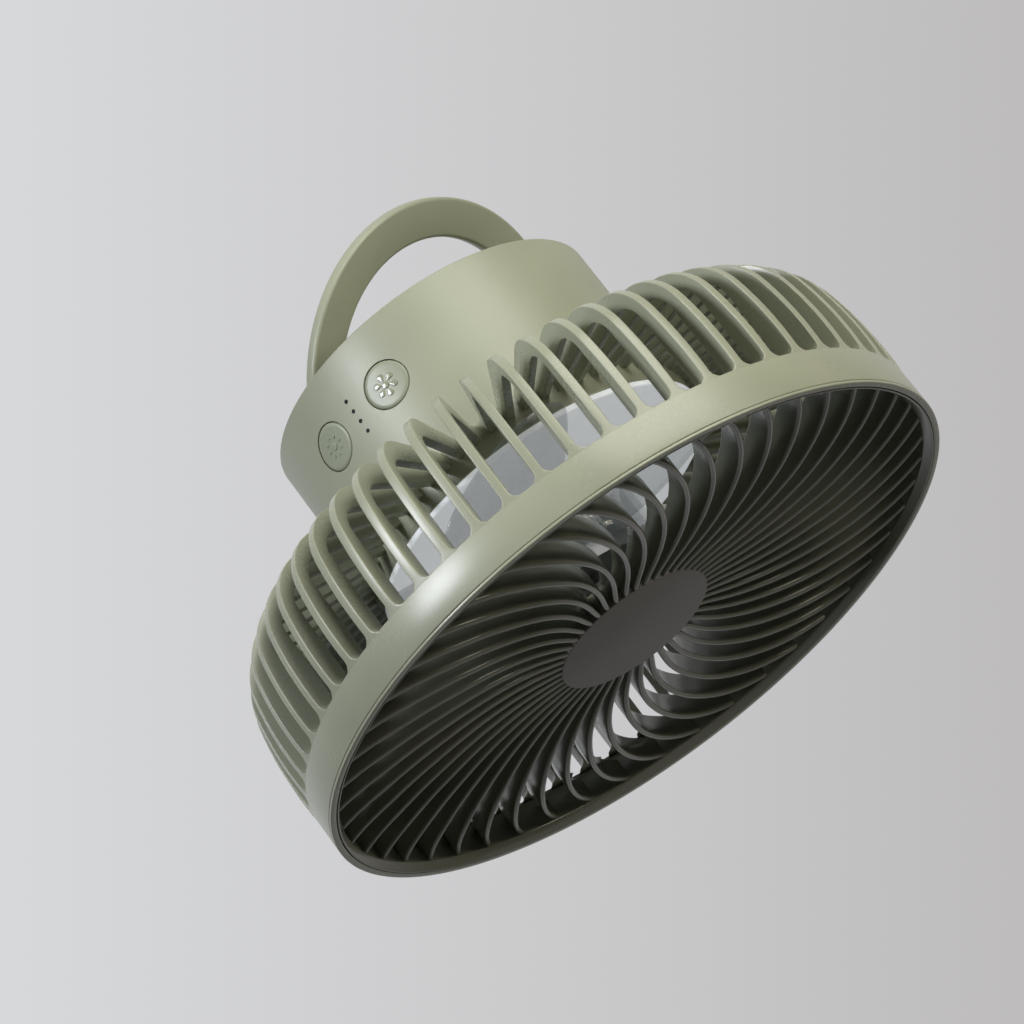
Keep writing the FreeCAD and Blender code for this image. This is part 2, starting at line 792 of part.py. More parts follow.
def build_buttons():
    """Two push buttons in the wall, their switches and board, and the row of charge light pipes."""
    wall = turned("ButtonWall", [
        (0, dome_top),
        (body_rad, dome_top),
        (body_rad, body_end),
        (0, body_end),
    ])
    switches = []
    for label, sign in (("fan_button", 1), ("light_button", -1)):
        x = button_side * sign
        cap = rod(label + "Cap", button_rad, body_rad - flange_front + flange_thick, (x, -body_rad, button_high), facing_back)
        flange = rod(label + "Flange", button_flange, flange_thick, (x, -flange_front, button_high), facing_back)
        stem = rod(label + "Stem", stem_rad, flange_thick + stem_long, (x, -flange_front, button_high), facing_back)
        solid = fused(label + "Solid", [cap, flange, stem])
        shaped = doc.addObject("Part::Common", label + "Shaped")
        shaped.Base = solid
        shaped.Tool = wall
        keep(label, shaped)
        base_at = (x - switch_side / 2, -switch_top + 1, button_high - switch_side / 2)
        base = block(label + "Switch", switch_side, switch_high - 1, switch_side, base_at)
        knob = rod(label + "Knob", stem_rad - 0.3, 1.5, (x, -switch_top, button_high), facing_back)
        switches.append(fused(label + "SwitchSolid", [base, knob]))
    keep("tact_switches", together("Switches", switches))

    panel_at = (-panel_side / 2, -panel_face, button_high - panel_tall / 2)
    keep("button_board", block("ButtonBoard", panel_side, panel_thick, panel_tall, panel_at))

    pipes = []
    for i in range(round(float(light_count))):
        height = light_low + light_step * i
        pipes.append(rod(f"LightPipe{i}", light_rad, body_rad - panel_face, (0, -body_rad, height), facing_back))
    bar_tall = light_step * (light_count - 1) + 3
    bar_at = (-bar_side / 2, -(body_in - 3), light_low - 1.5)
    pipes.append(block("LightBar", bar_side, bar_thick, bar_tall, bar_at))
    keep("light_pipe", fused("LightPipe", pipes))


def build_motor():
    """An outer-rotor motor: fixed tube, stator and board, and the cup, magnets and shaft that turn."""
    bore = bearing_rad + fit_gap
    tube_rad = bearing_rad + tube_wall
    step = bearing_rad - 0.6
    front_seat = tube_front + bearing_high
    mount = turned("MotorMount", [
        (tube_rad, tube_front),
        (tube_rad, mount_front),
        (mount_rad, mount_front),
        (mount_rad, mount_back - mount_flange),
        (flange_rad, mount_back - mount_flange),
        (flange_rad, mount_back),
        (bore, mount_back),
        (bore, back_seat),
        (step, back_seat),
        (step, front_seat),
        (bore, front_seat),
        (bore, tube_front),
    ])
    holes = []
    for i in range(round(float(motor_screw_count))):
        x, y = around(motor_screw_ring, 30 + 360 / float(motor_screw_count) * i)
        flange_deep = mount_flange + 2 * through_cut
        flange_from = mount_back - mount_flange - through_cut
        holes.append(rod(f"FlangeHole{i}", screw_rad + seat_gap, flange_deep, (x, y, flange_from)))
    keep("motor_mount", cut("Mount", mount, holes))
    one = screw("MotorScrew", mount_back - mount_flange, motor_screw_long, -1)
    screw_group("motor_screws", one, motor_screw_ring, motor_screw_count, 30)

    bearings = []
    for i, low in enumerate((tube_front, back_seat)):
        bearings.append(turned(f"Bearing{i}", [
            (shaft_rad + fit_gap, low),
            (bearing_rad, low),
            (bearing_rad, low + bearing_high),
            (shaft_rad + fit_gap, low + bearing_high),
        ]))
    keep("motor_bearings", together("Bearings", bearings))
    keep("motor_shaft", rod("MotorShaft", shaft_rad, shaft_back - shaft_front, (0, 0, shaft_front)))
    clip_low = back_seat + bearing_high + seat_gap
    keep("shaft_clip", turned("ShaftClip", [
        (shaft_rad, clip_low),
        (clip_rad, clip_low),
        (clip_rad, clip_low + clip_thick),
        (shaft_rad, clip_low + clip_thick),
    ]))

    ring = turned("CoreRing", [
        (tube_rad, core_low),
        (tube_rad + core_ring, core_low),
        (tube_rad + core_ring, core_low + core_high),
        (tube_rad, core_low + core_high),
    ])
    reach = core_rad - tube_rad - 1
    teeth = []
    coils = []
    for i in range(round(float(tooth_count))):
        degrees = 360 / float(tooth_count) * i
        turn = about_z(degrees)
        side = math.radians(degrees)
        start = tube_rad + 1
        x = start * math.cos(side) + tooth_wide / 2 * math.sin(side)
        y = start * math.sin(side) - tooth_wide / 2 * math.cos(side)
        teeth.append(block(f"Tooth{i}", reach, tooth_wide, core_high, (x, y, core_low), turn))
    keep("stator_core", fused("StatorCore", [ring] + teeth))
    inner = tooth_wide / 2 + coil_gap
    first = tube_rad + core_ring + 0.5
    long = float(core_rad - first) - 0.6
    wide = float(inner + coil_wall)
    tall = float(core_high / 2 + coil_gap + coil_end)
    middle = float(core_low + core_high / 2)
    outer = Part.makeBox(long, 2 * wide, 2 * tall, FreeCAD.Vector(float(first), -wide, middle - tall))
    hole_wide = float(inner)
    hole_tall = float(core_high / 2 + coil_gap)
    hole_at = FreeCAD.Vector(float(first) - 1, -hole_wide, middle - hole_tall)
    hole = Part.makeBox(long + 2, 2 * hole_wide, 2 * hole_tall, hole_at)
    keep("stator_windings", formed("Windings", repeated(outer.cut(hole), tooth_count)))
    keep("motor_board", turned("MotorBoard", [
        (tube_rad + seat_gap, mount_front - motor_board_thick),
        (mount_rad - 0.5, mount_front - motor_board_thick),
        (mount_rad - 0.5, mount_front),
        (tube_rad + seat_gap, mount_front),
    ]))

    cup_in = cup_rad - cup_wall
    keep("rotor_cup", turned("RotorCup", [
        (shaft_rad, cup_front),
        (cup_rad, cup_front),
        (cup_rad, cup_back),
        (cup_in, cup_back),
        (cup_in, cup_front + cup_wall + 0.3),
        (cup_boss, cup_front + cup_wall + 0.3),
        (cup_boss, cup_front + cup_boss_high),
        (shaft_rad, cup_front + cup_boss_high),
    ]))
    magnet_back = cup_back - 0.6
    keep("magnet_ring", turned("MagnetRing", [
        (cup_in - magnet_thick, magnet_back - magnet_high),
        (cup_in, magnet_back - magnet_high),
        (cup_in, magnet_back),
        (cup_in - magnet_thick, magnet_back),
    ]))


def build_impeller():
    """Clear blades on a hollow hub that sits over the rotor cup, and the nut on the shaft's end."""
    sleeve = cup_rad + seat_gap
    skin_in = hub_rad - hub_skin
    hub = turned("ImpellerHub", [
        (shaft_rad + fit_gap, hub_front),
        (nose_rad, hub_front),
        (hub_rad - 1.5, hub_front + nose_slope / 2),
        (hub_rad, hub_front + nose_slope),
        (hub_rad, hub_back),
        (skin_in, hub_back),
        (skin_in, hub_front + nose_slope + 0.6),
        (sleeve + hub_skin, hub_front + nose_slope / 2 + 2),
        (sleeve + hub_skin, cup_back - 1.6),
        (sleeve, cup_back - 1.6),
        (sleeve, cup_front - seat_gap),
        (shaft_rad + fit_gap, cup_front - seat_gap),
    ])
    blades = formed("Blades", repeated(blade_shape(), blade_count, blade_shift))
    keep("impeller", fused("Impeller", [hub, blades]))
    keep("impeller_nut", turned("ImpellerNut", [
        (0, hub_front - nut_high),
        (nut_rad - 1, hub_front - nut_high),
        (nut_rad, hub_front - nut_high + 1),
        (nut_rad, hub_front),
        (shaft_rad, hub_front),
        (shaft_rad, shaft_front),
        (0, shaft_front),
    ]))


def build_lamp():
    """The white ring lens in front of the collar, with its board and chips behind it."""
    skirt_out = collar_rad - collar_wall - snug
    skirt_end = collar_low + lens_skirt
    lens = turned("Lens", [
        (lens_in, lens_face),
        (collar_rad, lens_face),
        (collar_rad, collar_low),
        (skirt_out, collar_low),
        (skirt_out, skirt_end),
        (skirt_out - lens_wall, skirt_end),
        (skirt_out - lens_wall, lens_face + lens_wall),
        (lens_in + lens_wall, lens_face + lens_wall),
        (lens_in + lens_wall, skirt_end),
        (lens_in, skirt_end),
    ])
    keep("lamp_lens", bevelled(lens, lens_bevel, [(collar_rad, lens_face)]))
    board_front = bulkhead_low - lamp_thick
    keep("lamp_board", turned("LampBoard", [
        (lamp_in, board_front),
        (lamp_out, board_front),
        (lamp_out, bulkhead_low),
        (lamp_in, bulkhead_low),
    ]))
    side = float(chip_side)
    corner = FreeCAD.Vector(float(chip_ring) - side / 2, -side / 2, float(board_front - chip_high))
    chip = Part.makeBox(side, side, float(chip_high), corner)
    keep("lamp_chips", formed("LampChips", repeated(chip, chip_count)))


def build_power():
    """Three lithium cells in a cradle, the main board above them and the charging socket."""
    half_wide = cell_rad * 3 + 2 * cell_play
    base = block(
        "CradleBase", cell_long + 2 * cradle_wall + 2 * cell_play, 2 * half_wide, cradle_base + cradle_saddle,
        (-(cell_long / 2 + cradle_wall + cell_play), -half_wide, dome_top),
    )
    walls = []
    for i, sign in enumerate((1, -1)):
        start = cell_long / 2 + cell_play if sign > 0 else -(cell_long / 2 + cell_play + cradle_wall)
        walls.append(block(
            f"CradleEnd{i}", cradle_wall, cradle_end, board_low - dome_top, (start, -cradle_end / 2, dome_top),
        ))
    troughs = []
    cells = []
    for i in (-1, 0, 1):
        y = (2 * cell_rad + cell_play) * i
        trough_at = (-(cell_long / 2 + cell_play), y, cell_high)
        troughs.append(rod(f"Trough{i + 1}", cell_rad + cell_play, cell_long + 2 * cell_play, trough_at, along_x))
        cells.append(rod(f"Cell{i + 1}", cell_rad, cell_long, (-cell_long / 2, y, cell_high), along_x))
    trough = fused("Troughs", troughs)
    keep("battery_cradle", cut("Cradle", fused("CradleBlank", [base] + walls), [trough]))
    keep("battery_cells", together("Cells", cells))
    disc = rod("BoardDisc", board_rad, board_thick, (0, 0, board_low))
    edge_at = (-board_rad, -(board_rad + 1), board_low - 1)
    edge = block("BoardEdge", 2 * board_rad, board_rad + 1 - board_flat, board_thick + 2, edge_at)
    keep("main_board", cut("MainBoard", disc, [edge]))
    socket_at = (-socket_wide / 2, body_rad - 0.4 - socket_long, board_low + board_thick)
    shell = block("SocketShell", socket_wide, socket_long, socket_tall, socket_at)
    mouth_at = (-socket_wide / 2 + 0.3, body_rad - 0.4 - socket_long + 1, board_low + board_thick + 0.3)
    mouth = block("SocketMouth", socket_wide - 0.6, socket_long, socket_tall - 0.6, mouth_at)
    tongue_at = (-socket_wide / 2 + 1, body_rad - 0.4 - socket_long + 0.5, board_low + board_thick + 1.25)
    tongue = block("SocketTongue", socket_wide - 2, socket_long - 1.5, socket_tall - 2.5, tongue_at)
    keep("usb_socket", fused("Socket", [cut("SocketCan", shell, [mouth]), tongue]))


build_head()
build_body()
build_bail()
build_buttons()
build_motor()
build_impeller()
build_lamp()
build_power()
doc.recompute()

faults = []
for thing in doc.Objects:
    if "Invalid" in thing.State or "Error" in thing.State:
        faults.append(f"{thing.Name}: {thing.State}")
for label, thing in nodes.items():
    shape = thing.Shape
    if shape.isNull() or not shape.isValid() or not shape.Solids:
        faults.append(f"{label}: its shape is not a valid solid")
if faults:
    raise SystemExit("\n".join(faults))

os.makedirs("parts", exist_ok=True)
facets = 0
for label, thing in nodes.items():
    shape = thing.Shape
    count = len(shape.tessellate(0.1)[1])
    facets += count
    box = shape.BoundBox
    print(f"{label:16s} solids {len(shape.Solids):2d} volume {shape.Volume:9.1f} facets {count:5d} "
          f"z {box.ZMin:7.2f} to {box.ZMax:7.2f} reach {max(box.XMax, -box.XMin, box.YMax, -box.YMin):6.2f}")
    shape.exportStep(f"parts/{label}.step")
print("nodes", len(nodes), "facets", facets)
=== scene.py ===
import math

import bpy
from mathutils import Matrix, Vector


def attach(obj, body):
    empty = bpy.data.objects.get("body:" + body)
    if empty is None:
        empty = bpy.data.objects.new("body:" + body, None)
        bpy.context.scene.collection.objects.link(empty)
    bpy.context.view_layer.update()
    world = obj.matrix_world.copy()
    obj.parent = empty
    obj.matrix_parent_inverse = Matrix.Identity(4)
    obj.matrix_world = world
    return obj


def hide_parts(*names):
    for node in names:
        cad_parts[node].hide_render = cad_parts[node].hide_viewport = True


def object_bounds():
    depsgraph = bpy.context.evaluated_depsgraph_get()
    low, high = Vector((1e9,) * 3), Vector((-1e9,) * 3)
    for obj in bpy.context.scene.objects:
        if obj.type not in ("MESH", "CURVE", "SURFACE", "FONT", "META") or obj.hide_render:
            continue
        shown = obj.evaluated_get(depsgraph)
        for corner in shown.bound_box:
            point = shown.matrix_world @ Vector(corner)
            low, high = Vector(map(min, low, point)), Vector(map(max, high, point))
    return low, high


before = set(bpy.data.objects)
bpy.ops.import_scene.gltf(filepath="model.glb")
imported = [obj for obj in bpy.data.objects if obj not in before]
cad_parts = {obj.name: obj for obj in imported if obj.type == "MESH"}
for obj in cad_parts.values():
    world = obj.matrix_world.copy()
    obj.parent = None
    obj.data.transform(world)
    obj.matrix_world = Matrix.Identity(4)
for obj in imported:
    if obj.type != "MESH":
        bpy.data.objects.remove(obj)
cadLow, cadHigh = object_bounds()
mm = 0.001
turn = 2 * math.pi
mergeWithin = 0.004 * mm


# Small steps in edit mode

def deselectAll():
    if bpy.context.mode != "OBJECT":
        bpy.ops.object.mode_set(mode="OBJECT")
    bpy.ops.object.select_all(action="DESELECT")


def takeUp(piece):
    deselectAll()
    piece.select_set(True)
    bpy.context.view_layer.objects.active = piece


def enterEdit(piece, kind="FACE"):
    takeUp(piece)
    bpy.ops.object.mode_set(mode="EDIT")
    bpy.ops.mesh.select_mode(type=kind)
    bpy.ops.mesh.select_all(action="DESELECT")


def leaveEdit():
    bpy.ops.object.mode_set(mode="OBJECT")


def pickFaces(piece, test):
    # selects the faces that a test on their centre and normal takes, and goes back to edit mode
    leaveEdit()
    for face in piece.data.polygons:
        face.select = test(face.center, face.normal)
    bpy.ops.object.mode_set(mode="EDIT")


def startPoint(place):
    # a plane merged to one point, which the next steps draw out
    deselectAll()
    bpy.ops.mesh.primitive_plane_add(size=mm)
    piece = bpy.context.object
    bpy.ops.object.mode_set(mode="EDIT")
    bpy.ops.mesh.select_mode(type="VERT")
    bpy.ops.mesh.select_all(action="SELECT")
    bpy.ops.mesh.merge(type="CENTER")
    bpy.ops.transform.translate(value=place)
    return piece


def drawOut(points):
    for last, new in zip(points, points[1:]):
        bpy.ops.mesh.extrude_region_move(TRANSFORM_OT_translate={"value": new - last})


def mergeDoubles():
    bpy.ops.mesh.select_all(action="SELECT")
    bpy.ops.mesh.remove_doubles(threshold=mergeWithin)


def closeUp():
    mergeDoubles()
    bpy.ops.mesh.normals_make_consistent(inside=False)
    leaveEdit()


def bevelEdges(piece, width, segments=3, angle=32):
    takeUp(piece)
    edge = piece.modifiers.new("Edges", "BEVEL")
    edge.width, edge.segments = width * mm, segments
    edge.limit_method, edge.angle_limit = "ANGLE", math.radians(angle)
    edge.harden_normals = False
    bpy.ops.object.modifier_apply(modifier=edge.name)


def thicken(piece, wall):
    # gives a sheet its thickness, half to each side
    takeUp(piece)
    sheet = piece.modifiers.new("Wall", "SOLIDIFY")
    sheet.thickness, sheet.offset = wall * mm, 0
    bpy.ops.object.modifier_apply(modifier=sheet.name)


def smoothSides(piece, angle=34):
    takeUp(piece)
    bpy.ops.object.shade_smooth_by_angle(angle=math.radians(angle))


def settle(piece):
    takeUp(piece)
    bpy.ops.object.transform_apply(location=True, rotation=True, scale=True)


def turnedPiece(name, outline, steps=180, sweep=360, round=0.0, segments=3):
    # a closed outline of radius and height, in mm, drawn point by point and spun about the fan's axis
    points = [Vector((r * mm, 0, z * mm)) for r, z in outline]
    piece = startPoint(points[0])
    drawOut(points + points[:1])
    mergeDoubles()
    bpy.ops.mesh.select_all(action="SELECT")
    if sweep < 360:
        bpy.ops.mesh.edge_face_add()
    bpy.ops.mesh.spin(steps=steps, angle=math.radians(sweep), center=(0, 0, 0), axis=(0, 0, 1))
    closeUp()
    piece.name = name
    if round:
        bevelEdges(piece, round, segments)
    smoothSides(piece)
    return piece


def copyTurned(piece, degrees):
    copy = piece.copy()
    copy.data = piece.data.copy()
    copy.data.transform(Matrix.Rotation(math.radians(degrees), 4, "Z"))
    bpy.context.scene.collection.objects.link(copy)
    return copy


def repeatAround(piece, count, first=0.0):
    copies = [copyTurned(piece, first + 360 / count * i) for i in range(count)]
    bpy.data.objects.remove(piece)
    return copies


def joinAll(name, parts):
    deselectAll()
    for part in parts:
        part.select_set(True)
    bpy.context.view_layer.objects.active = parts[0]
    bpy.ops.object.join()
    whole = bpy.context.object
    whole.name = name
    return whole


def cutAway(piece, tools):
    for tool in tools:
        takeUp(piece)
        hole = piece.modifiers.new("Hole", "BOOLEAN")
        hole.operation, hole.solver, hole.object = "DIFFERENCE", "EXACT", tool
        bpy.ops.object.modifier_apply(modifier=hole.name)
        bpy.data.objects.remove(tool)


def roundBar(radius, length, place, facing="Y", vertices=48):
    # a cylinder that starts at a place and runs along Y or Z
    deselectAll()
    tilt = {"Y": (math.pi / 2, 0, 0), "Z": (0, 0, 0)}[facing]
    middle = Vector(place) + Vector({"Y": (0, 1, 0), "Z": (0, 0, 1)}[facing]) * length / 2
    bpy.ops.mesh.primitive_cylinder_add(
        vertices=vertices, radius=radius * mm, depth=length * mm, location=middle * mm, rotation=tilt
    )
    bar = bpy.context.object
    settle(bar)
    return bar


def around(radius, degrees, height):
    angle = math.radians(degrees)
    return Vector((radius * math.cos(angle), radius * math.sin(angle), height))


def fit(piece, body, finish, node):
    # gives a piece its finish and the body it moves with, in place of its CAD node
    piece.data.materials.clear()
    piece.data.materials.append(finish)
    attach(piece, body)
    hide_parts(node)


# Finishes

class Value:
    # a socket, so that sums on it add their Math nodes
    def __init__(self, tree, socket):
        self.tree, self.socket = tree, socket

    def sum(self, operation, first, second):
        node = self.tree.nodes.new("ShaderNodeMath")
        node.operation = operation
        for slot, side in zip(node.inputs, (first, second)):
            if isinstance(side, Value):
                self.tree.links.new(side.socket, slot)
            else:
                slot.default_value = side
        return Value(self.tree, node.outputs[0])

    def __add__(self, other):
        return self.sum("ADD", self, other)

    __radd__ = __add__

    def __sub__(self, other):
        return self.sum("SUBTRACT", self, other)

    def __mul__(self, other):
        return self.sum("MULTIPLY", self, other)


class Nodes:
    # the node tree of a material or a world
    def __init__(self, owner):
        owner.use_nodes = True
        self.tree = owner.node_tree
        self.tree.nodes.clear()

    def add(self, kind, settings, sockets, output=0):
        node = self.tree.nodes.new(kind)
        for key, value in settings.items():
            setattr(node, key, value)
        for key, value in sockets.items():
            self.put(node.inputs[key], value)
        return Value(self.tree, node.outputs[output])

    def put(self, slot, value):
        if isinstance(value, Value):
            self.tree.links.new(value.socket, slot)
        else:
            slot.default_value = value

    def mix(self, share, first, second):
        return self.add("ShaderNodeMix", {"data_type": "RGBA"}, {0: share, 6: first, 7: second}, 2)

    def spread(self, value, low, high):
        # stretches the values from low to high to run from 0 to 1
        return self.add("ShaderNodeMapRange", {}, {"Value": value, "From Min": low, "From Max": high})

    def along(self, vector, line):
        return self.add("ShaderNodeVectorMath", {"operation": "DOT_PRODUCT"}, {0: vector, 1: line}, "Value")

    def rays(self, *kinds):
        # 1 for a ray of any of these kinds, and else 0
        found = [self.add("ShaderNodeLightPath", {}, {}, kind) for kind in kinds]
        highest = found[0]
        for other in found[1:]:
            highest = highest.sum("MAXIMUM", highest, other)
        return highest


class Finish(Nodes):
    def __init__(self, name):
        self.material = bpy.data.materials.new(name)
        super().__init__(self.material)
        self.shader = self.tree.nodes.new("ShaderNodeBsdfPrincipled")
        self.plain = Value(self.tree, self.shader.outputs[0])
        self.surface = self.tree.nodes.new("ShaderNodeOutputMaterial").inputs["Surface"]
        self.put(self.surface, self.plain)
        self.place = self.add("ShaderNodeTexCoord", {}, {}, "Object")

    def shade(self, **sockets):
        for key, value in sockets.items():
            self.put(self.shader.inputs[key.replace("_", " ")], value)

    def noise(self, size, detail=3.0, roughness=0.55, stretch=None):
        # noise whose marks are about so many mm across
        place = self.place
        if stretch:
            place = self.add("ShaderNodeMapping", {}, {"Vector": place, "Scale": stretch})
        return self.add("ShaderNodeTexNoise", {"noise_dimensions": "3D"}, {
            "Vector": place, "Scale": 1 / (size * mm), "Detail": detail, "Roughness": roughness,
        })

    def bump(self, height, strength, distance):
        return self.add("ShaderNodeBump", {}, {
            "Height": height, "Strength": strength, "Distance": distance * mm,
        })


def shade(red, green, blue):
    # a colour as seen, 0 to 255, in the linear values that Blender wants
    def linear(c):
        c /= 255
        return c / 12.92 if c <= 0.04045 else ((c + 0.055) / 1.055) ** 2.4
    return (linear(red), linear(green), linear(blue), 1)


def darker(colour, share):
    return tuple(c * share for c in colour[:3]) + (1,)


def mouldedPlastic(name, colour, rough, grain=0.25, change=0.06, depth=0.02):
    # satin moulded plastic: slow flow shading, faint dust and a fine spark-eroded grain
    finish = Finish(name)
    flow = finish.spread(finish.noise(38, 2), 0.35, 0.65)
    dust = finish.spread(finish.noise(1.3, 4), 0.45, 0.75)
    tone = finish.mix(flow, darker(colour, 1 - change), darker(colour, 1 + change))
    tone = finish.mix(dust * 0.025, tone, darker(colour, 1.3))
    fine = finish.noise(grain, 2)
    finish.shade(
        Base_Color=tone,
        Roughness=rough + (flow - 0.5) * 0.05 + (fine - 0.5) * 0.04 + dust * 0.02,
        Normal=finish.bump(fine, 0.35, depth),
    )
    return finish.material


colours = {
    "sage": shade(165, 169, 147),
    "badge": shade(112, 108, 101),
    "button": shade(158, 164, 142),
    "smoke": shade(118, 131, 132),
    "lens": shade(222, 226, 229),
    "pipe": shade(12, 12, 13),
    "steel": shade(176, 178, 180),
    "brass": shade(186, 152, 84),
    "core": shade(112, 114, 118),
    "copper": shade(184, 104, 60),
    "magnet": shade(66, 66, 70),
    "boardGreen": shade(34, 92, 58),
    "boardWhite": shade(226, 228, 224),
    "chip": shade(238, 214, 110),
    "cellWrap": shade(60, 120, 168),
    "cradle": shade(44, 45, 47),
    "mount": shade(206, 206, 200),
}


def brushedMetal(name, colour, rough, size=0.5, stretch=(1, 1, 8), wear=0.12):
    # machined metal: fine tool lines, dull patches and small nicks
    finish = Finish(name)
    lines = finish.noise(size, 3, 0.6, stretch)
    patches = finish.spread(finish.noise(6, 3), 0.35, 0.7)
    finish.shade(
        Base_Color=finish.mix(patches, colour, darker(colour, 1 - wear)),
        Metallic=1.0,
        Roughness=rough + (lines - 0.5) * 0.2 + patches * 0.08,
        Normal=finish.bump(lines, 0.25, 0.02),
    )
    return finish.material


def clearPlastic(name, colour):
    # smoky clear plastic with slow flow lines from the hub outwards
    finish = Finish(name)
    flow = finish.noise(22, 2, 0.5)
    scuff = finish.spread(finish.noise(1.6, 4), 0.5, 0.8)
    finish.shade(
        Base_Color=finish.mix(flow, darker(colour, 0.92), darker(colour, 1.08)),
        Roughness=0.05 + scuff * 0.06 + flow * 0.02,
        Alpha=0.19 + flow * 0.08 + scuff * 0.05,
        Normal=finish.bump(flow, 0.15, 0.3),
    )
    finish.shade(IOR=2.1)
    return finish.material


def lensPlasticPaintedGlow(name, colour):
    # milky diffuser with a faint ripple from the mould, and a painted glow
    finish = Finish(name)
    flow = finish.spread(finish.noise(30, 2), 0.35, 0.65)
    ripple = finish.noise(4, 2)
    finish.shade(
        Base_Color=finish.mix(flow, darker(colour, 0.97), colour),
        Roughness=0.30 + ripple * 0.12,
        Normal=finish.bump(ripple, 0.12, 0.05),
    )
    scatter = (1.2 * mm, 1.2 * mm, 1.3 * mm)
    finish.shade(Subsurface_Weight=0.25, Subsurface_Radius=scatter, Subsurface_Scale=1.0)
    # painted glow: the lamp is unlit, and this emission stands in for the light that falls on the lens
    finish.shade(Emission_Color=colour, Emission_Strength=0.49)
    return finish.material


def signedCap(name, colour, barrelRad=51.4):
    # a satin cap whose raised sign is polished: what stands above the barrel's curve is glossy
    finish = Finish(name)
    flow = finish.spread(finish.noise(12, 2), 0.35, 0.65)
    fine = finish.noise(0.25, 2)
    flat = finish.add("ShaderNodeVectorMath", {"operation": "MULTIPLY"}, {0: finish.place, 1: (1, 1, 0)})
    away = finish.add("ShaderNodeVectorMath", {"operation": "LENGTH"}, {0: flat}, "Value")
    raised = finish.spread(away, (barrelRad + 0.01) * mm, (barrelRad + 0.06) * mm)
    finish.shade(
        Base_Color=finish.mix(flow, darker(colour, 0.97), darker(colour, 1.03)),
        Roughness=0.38 + (fine - 0.5) * 0.1 - raised * 0.26,
        Normal=finish.bump(fine, 0.3, 0.012),
    )
    return finish.material


def boardMask(name, colour, line):
    # circuit board: solder mask over faint copper tracks, with pale specks of solder
    finish = Finish(name)
    track = finish.add("ShaderNodeTexBrick", {"offset": 0.4}, {
        "Vector": finish.place,
        "Color1": (0, 0, 0, 1), "Color2": (0.25, 0.25, 0.25, 1), "Mortar": (1, 1, 1, 1),
        "Scale": 1 / (5 * mm), "Mortar Size": 0.035, "Mortar Smooth": 0.3,
    })
    speck = finish.spread(finish.noise(0.9, 2), 0.62, 0.7)
    tone = finish.mix(track * 0.5, colour, line)
    finish.shade(
        Base_Color=finish.mix(speck * 0.5, tone, shade(190, 190, 186)),
        Roughness=0.36 + speck * 0.1,
        Normal=finish.bump(track, 0.3, 0.05),
    )
    return finish.material


def woundCopper(name, colour):
    # enamelled wire: fine turns round each tooth
    finish = Finish(name)
    turns = finish.add("ShaderNodeTexWave", {"wave_type": "BANDS", "bands_direction": "Z"}, {
        "Vector": finish.place, "Scale": 1 / (1.6 * mm * math.pi), "Distortion": 0.8, "Detail": 2.0,
    })
    finish.shade(
        Base_Color=finish.mix(turns, darker(colour, 0.55), colour),
        Metallic=0.85,
        Roughness=0.30 + turns * 0.12,
        Normal=finish.bump(turns, 0.7, 0.15),
    )
    return finish.material


sagePlastic = mouldedPlastic("sagePlastic", colours["sage"], 0.40)
sageSatin = mouldedPlastic("sageSatin", colours["sage"], 0.27, grain=0.4, change=0.05, depth=0.002)
# the grille takes the sage darkened to 0.44: partly a darker, glossier moulding, partly painted shade for
# the front that faces away from the lamps
grilleSagePartlyPaintedShade = darker(colours["sage"], 0.44)
sageGrille = mouldedPlastic("sageGrille", grilleSagePartlyPaintedShade, 0.22, grain=0.5, change=0.05, depth=0.003)
badgePlastic = mouldedPlastic("badgePlastic", colours["badge"], 0.50, grain=0.3, change=0.04)
buttonPlastic = mouldedPlastic("buttonPlastic", colours["button"], 0.40, change=0.04, depth=0.01)
signPlastic = signedCap("signPlastic", colours["button"])
clearBlade = clearPlastic("clearBlade", colours["smoke"])
lensWhitePaintedGlow = lensPlasticPaintedGlow("lensWhitePaintedGlow", colours["lens"])
darkPipe = mouldedPlastic("darkPipe", colours["pipe"], 0.18, grain=0.5, change=0.04, depth=0.004)
screwSteel = brushedMetal("screwSteel", colours["steel"], 0.34)
insertBrass = brushedMetal("insertBrass", colours["brass"], 0.32)
coreSteel = brushedMetal("coreSteel", colours["core"], 0.42, size=0.35, stretch=(1, 1, 12))
copperWire = woundCopper("copperWire", colours["copper"])
magnetGrey = brushedMetal("magnetGrey", colours["magnet"], 0.55, size=0.8, stretch=(1, 1, 1))
boardGreen = boardMask("boardGreen", colours["boardGreen"], shade(60, 124, 78))
boardWhite = boardMask("boardWhite", colours["boardWhite"], shade(204, 206, 204))
ledYellow = mouldedPlastic("ledYellow", colours["chip"], 0.3, grain=0.4, change=0.05)
cellWrap = mouldedPlastic("cellWrap", colours["cellWrap"], 0.28, grain=0.8, change=0.05)
cradleBlack = mouldedPlastic("cradleBlack", colours["cradle"], 0.5)
mountPlastic = mouldedPlastic("mountPlastic", colours["mount"], 0.45)

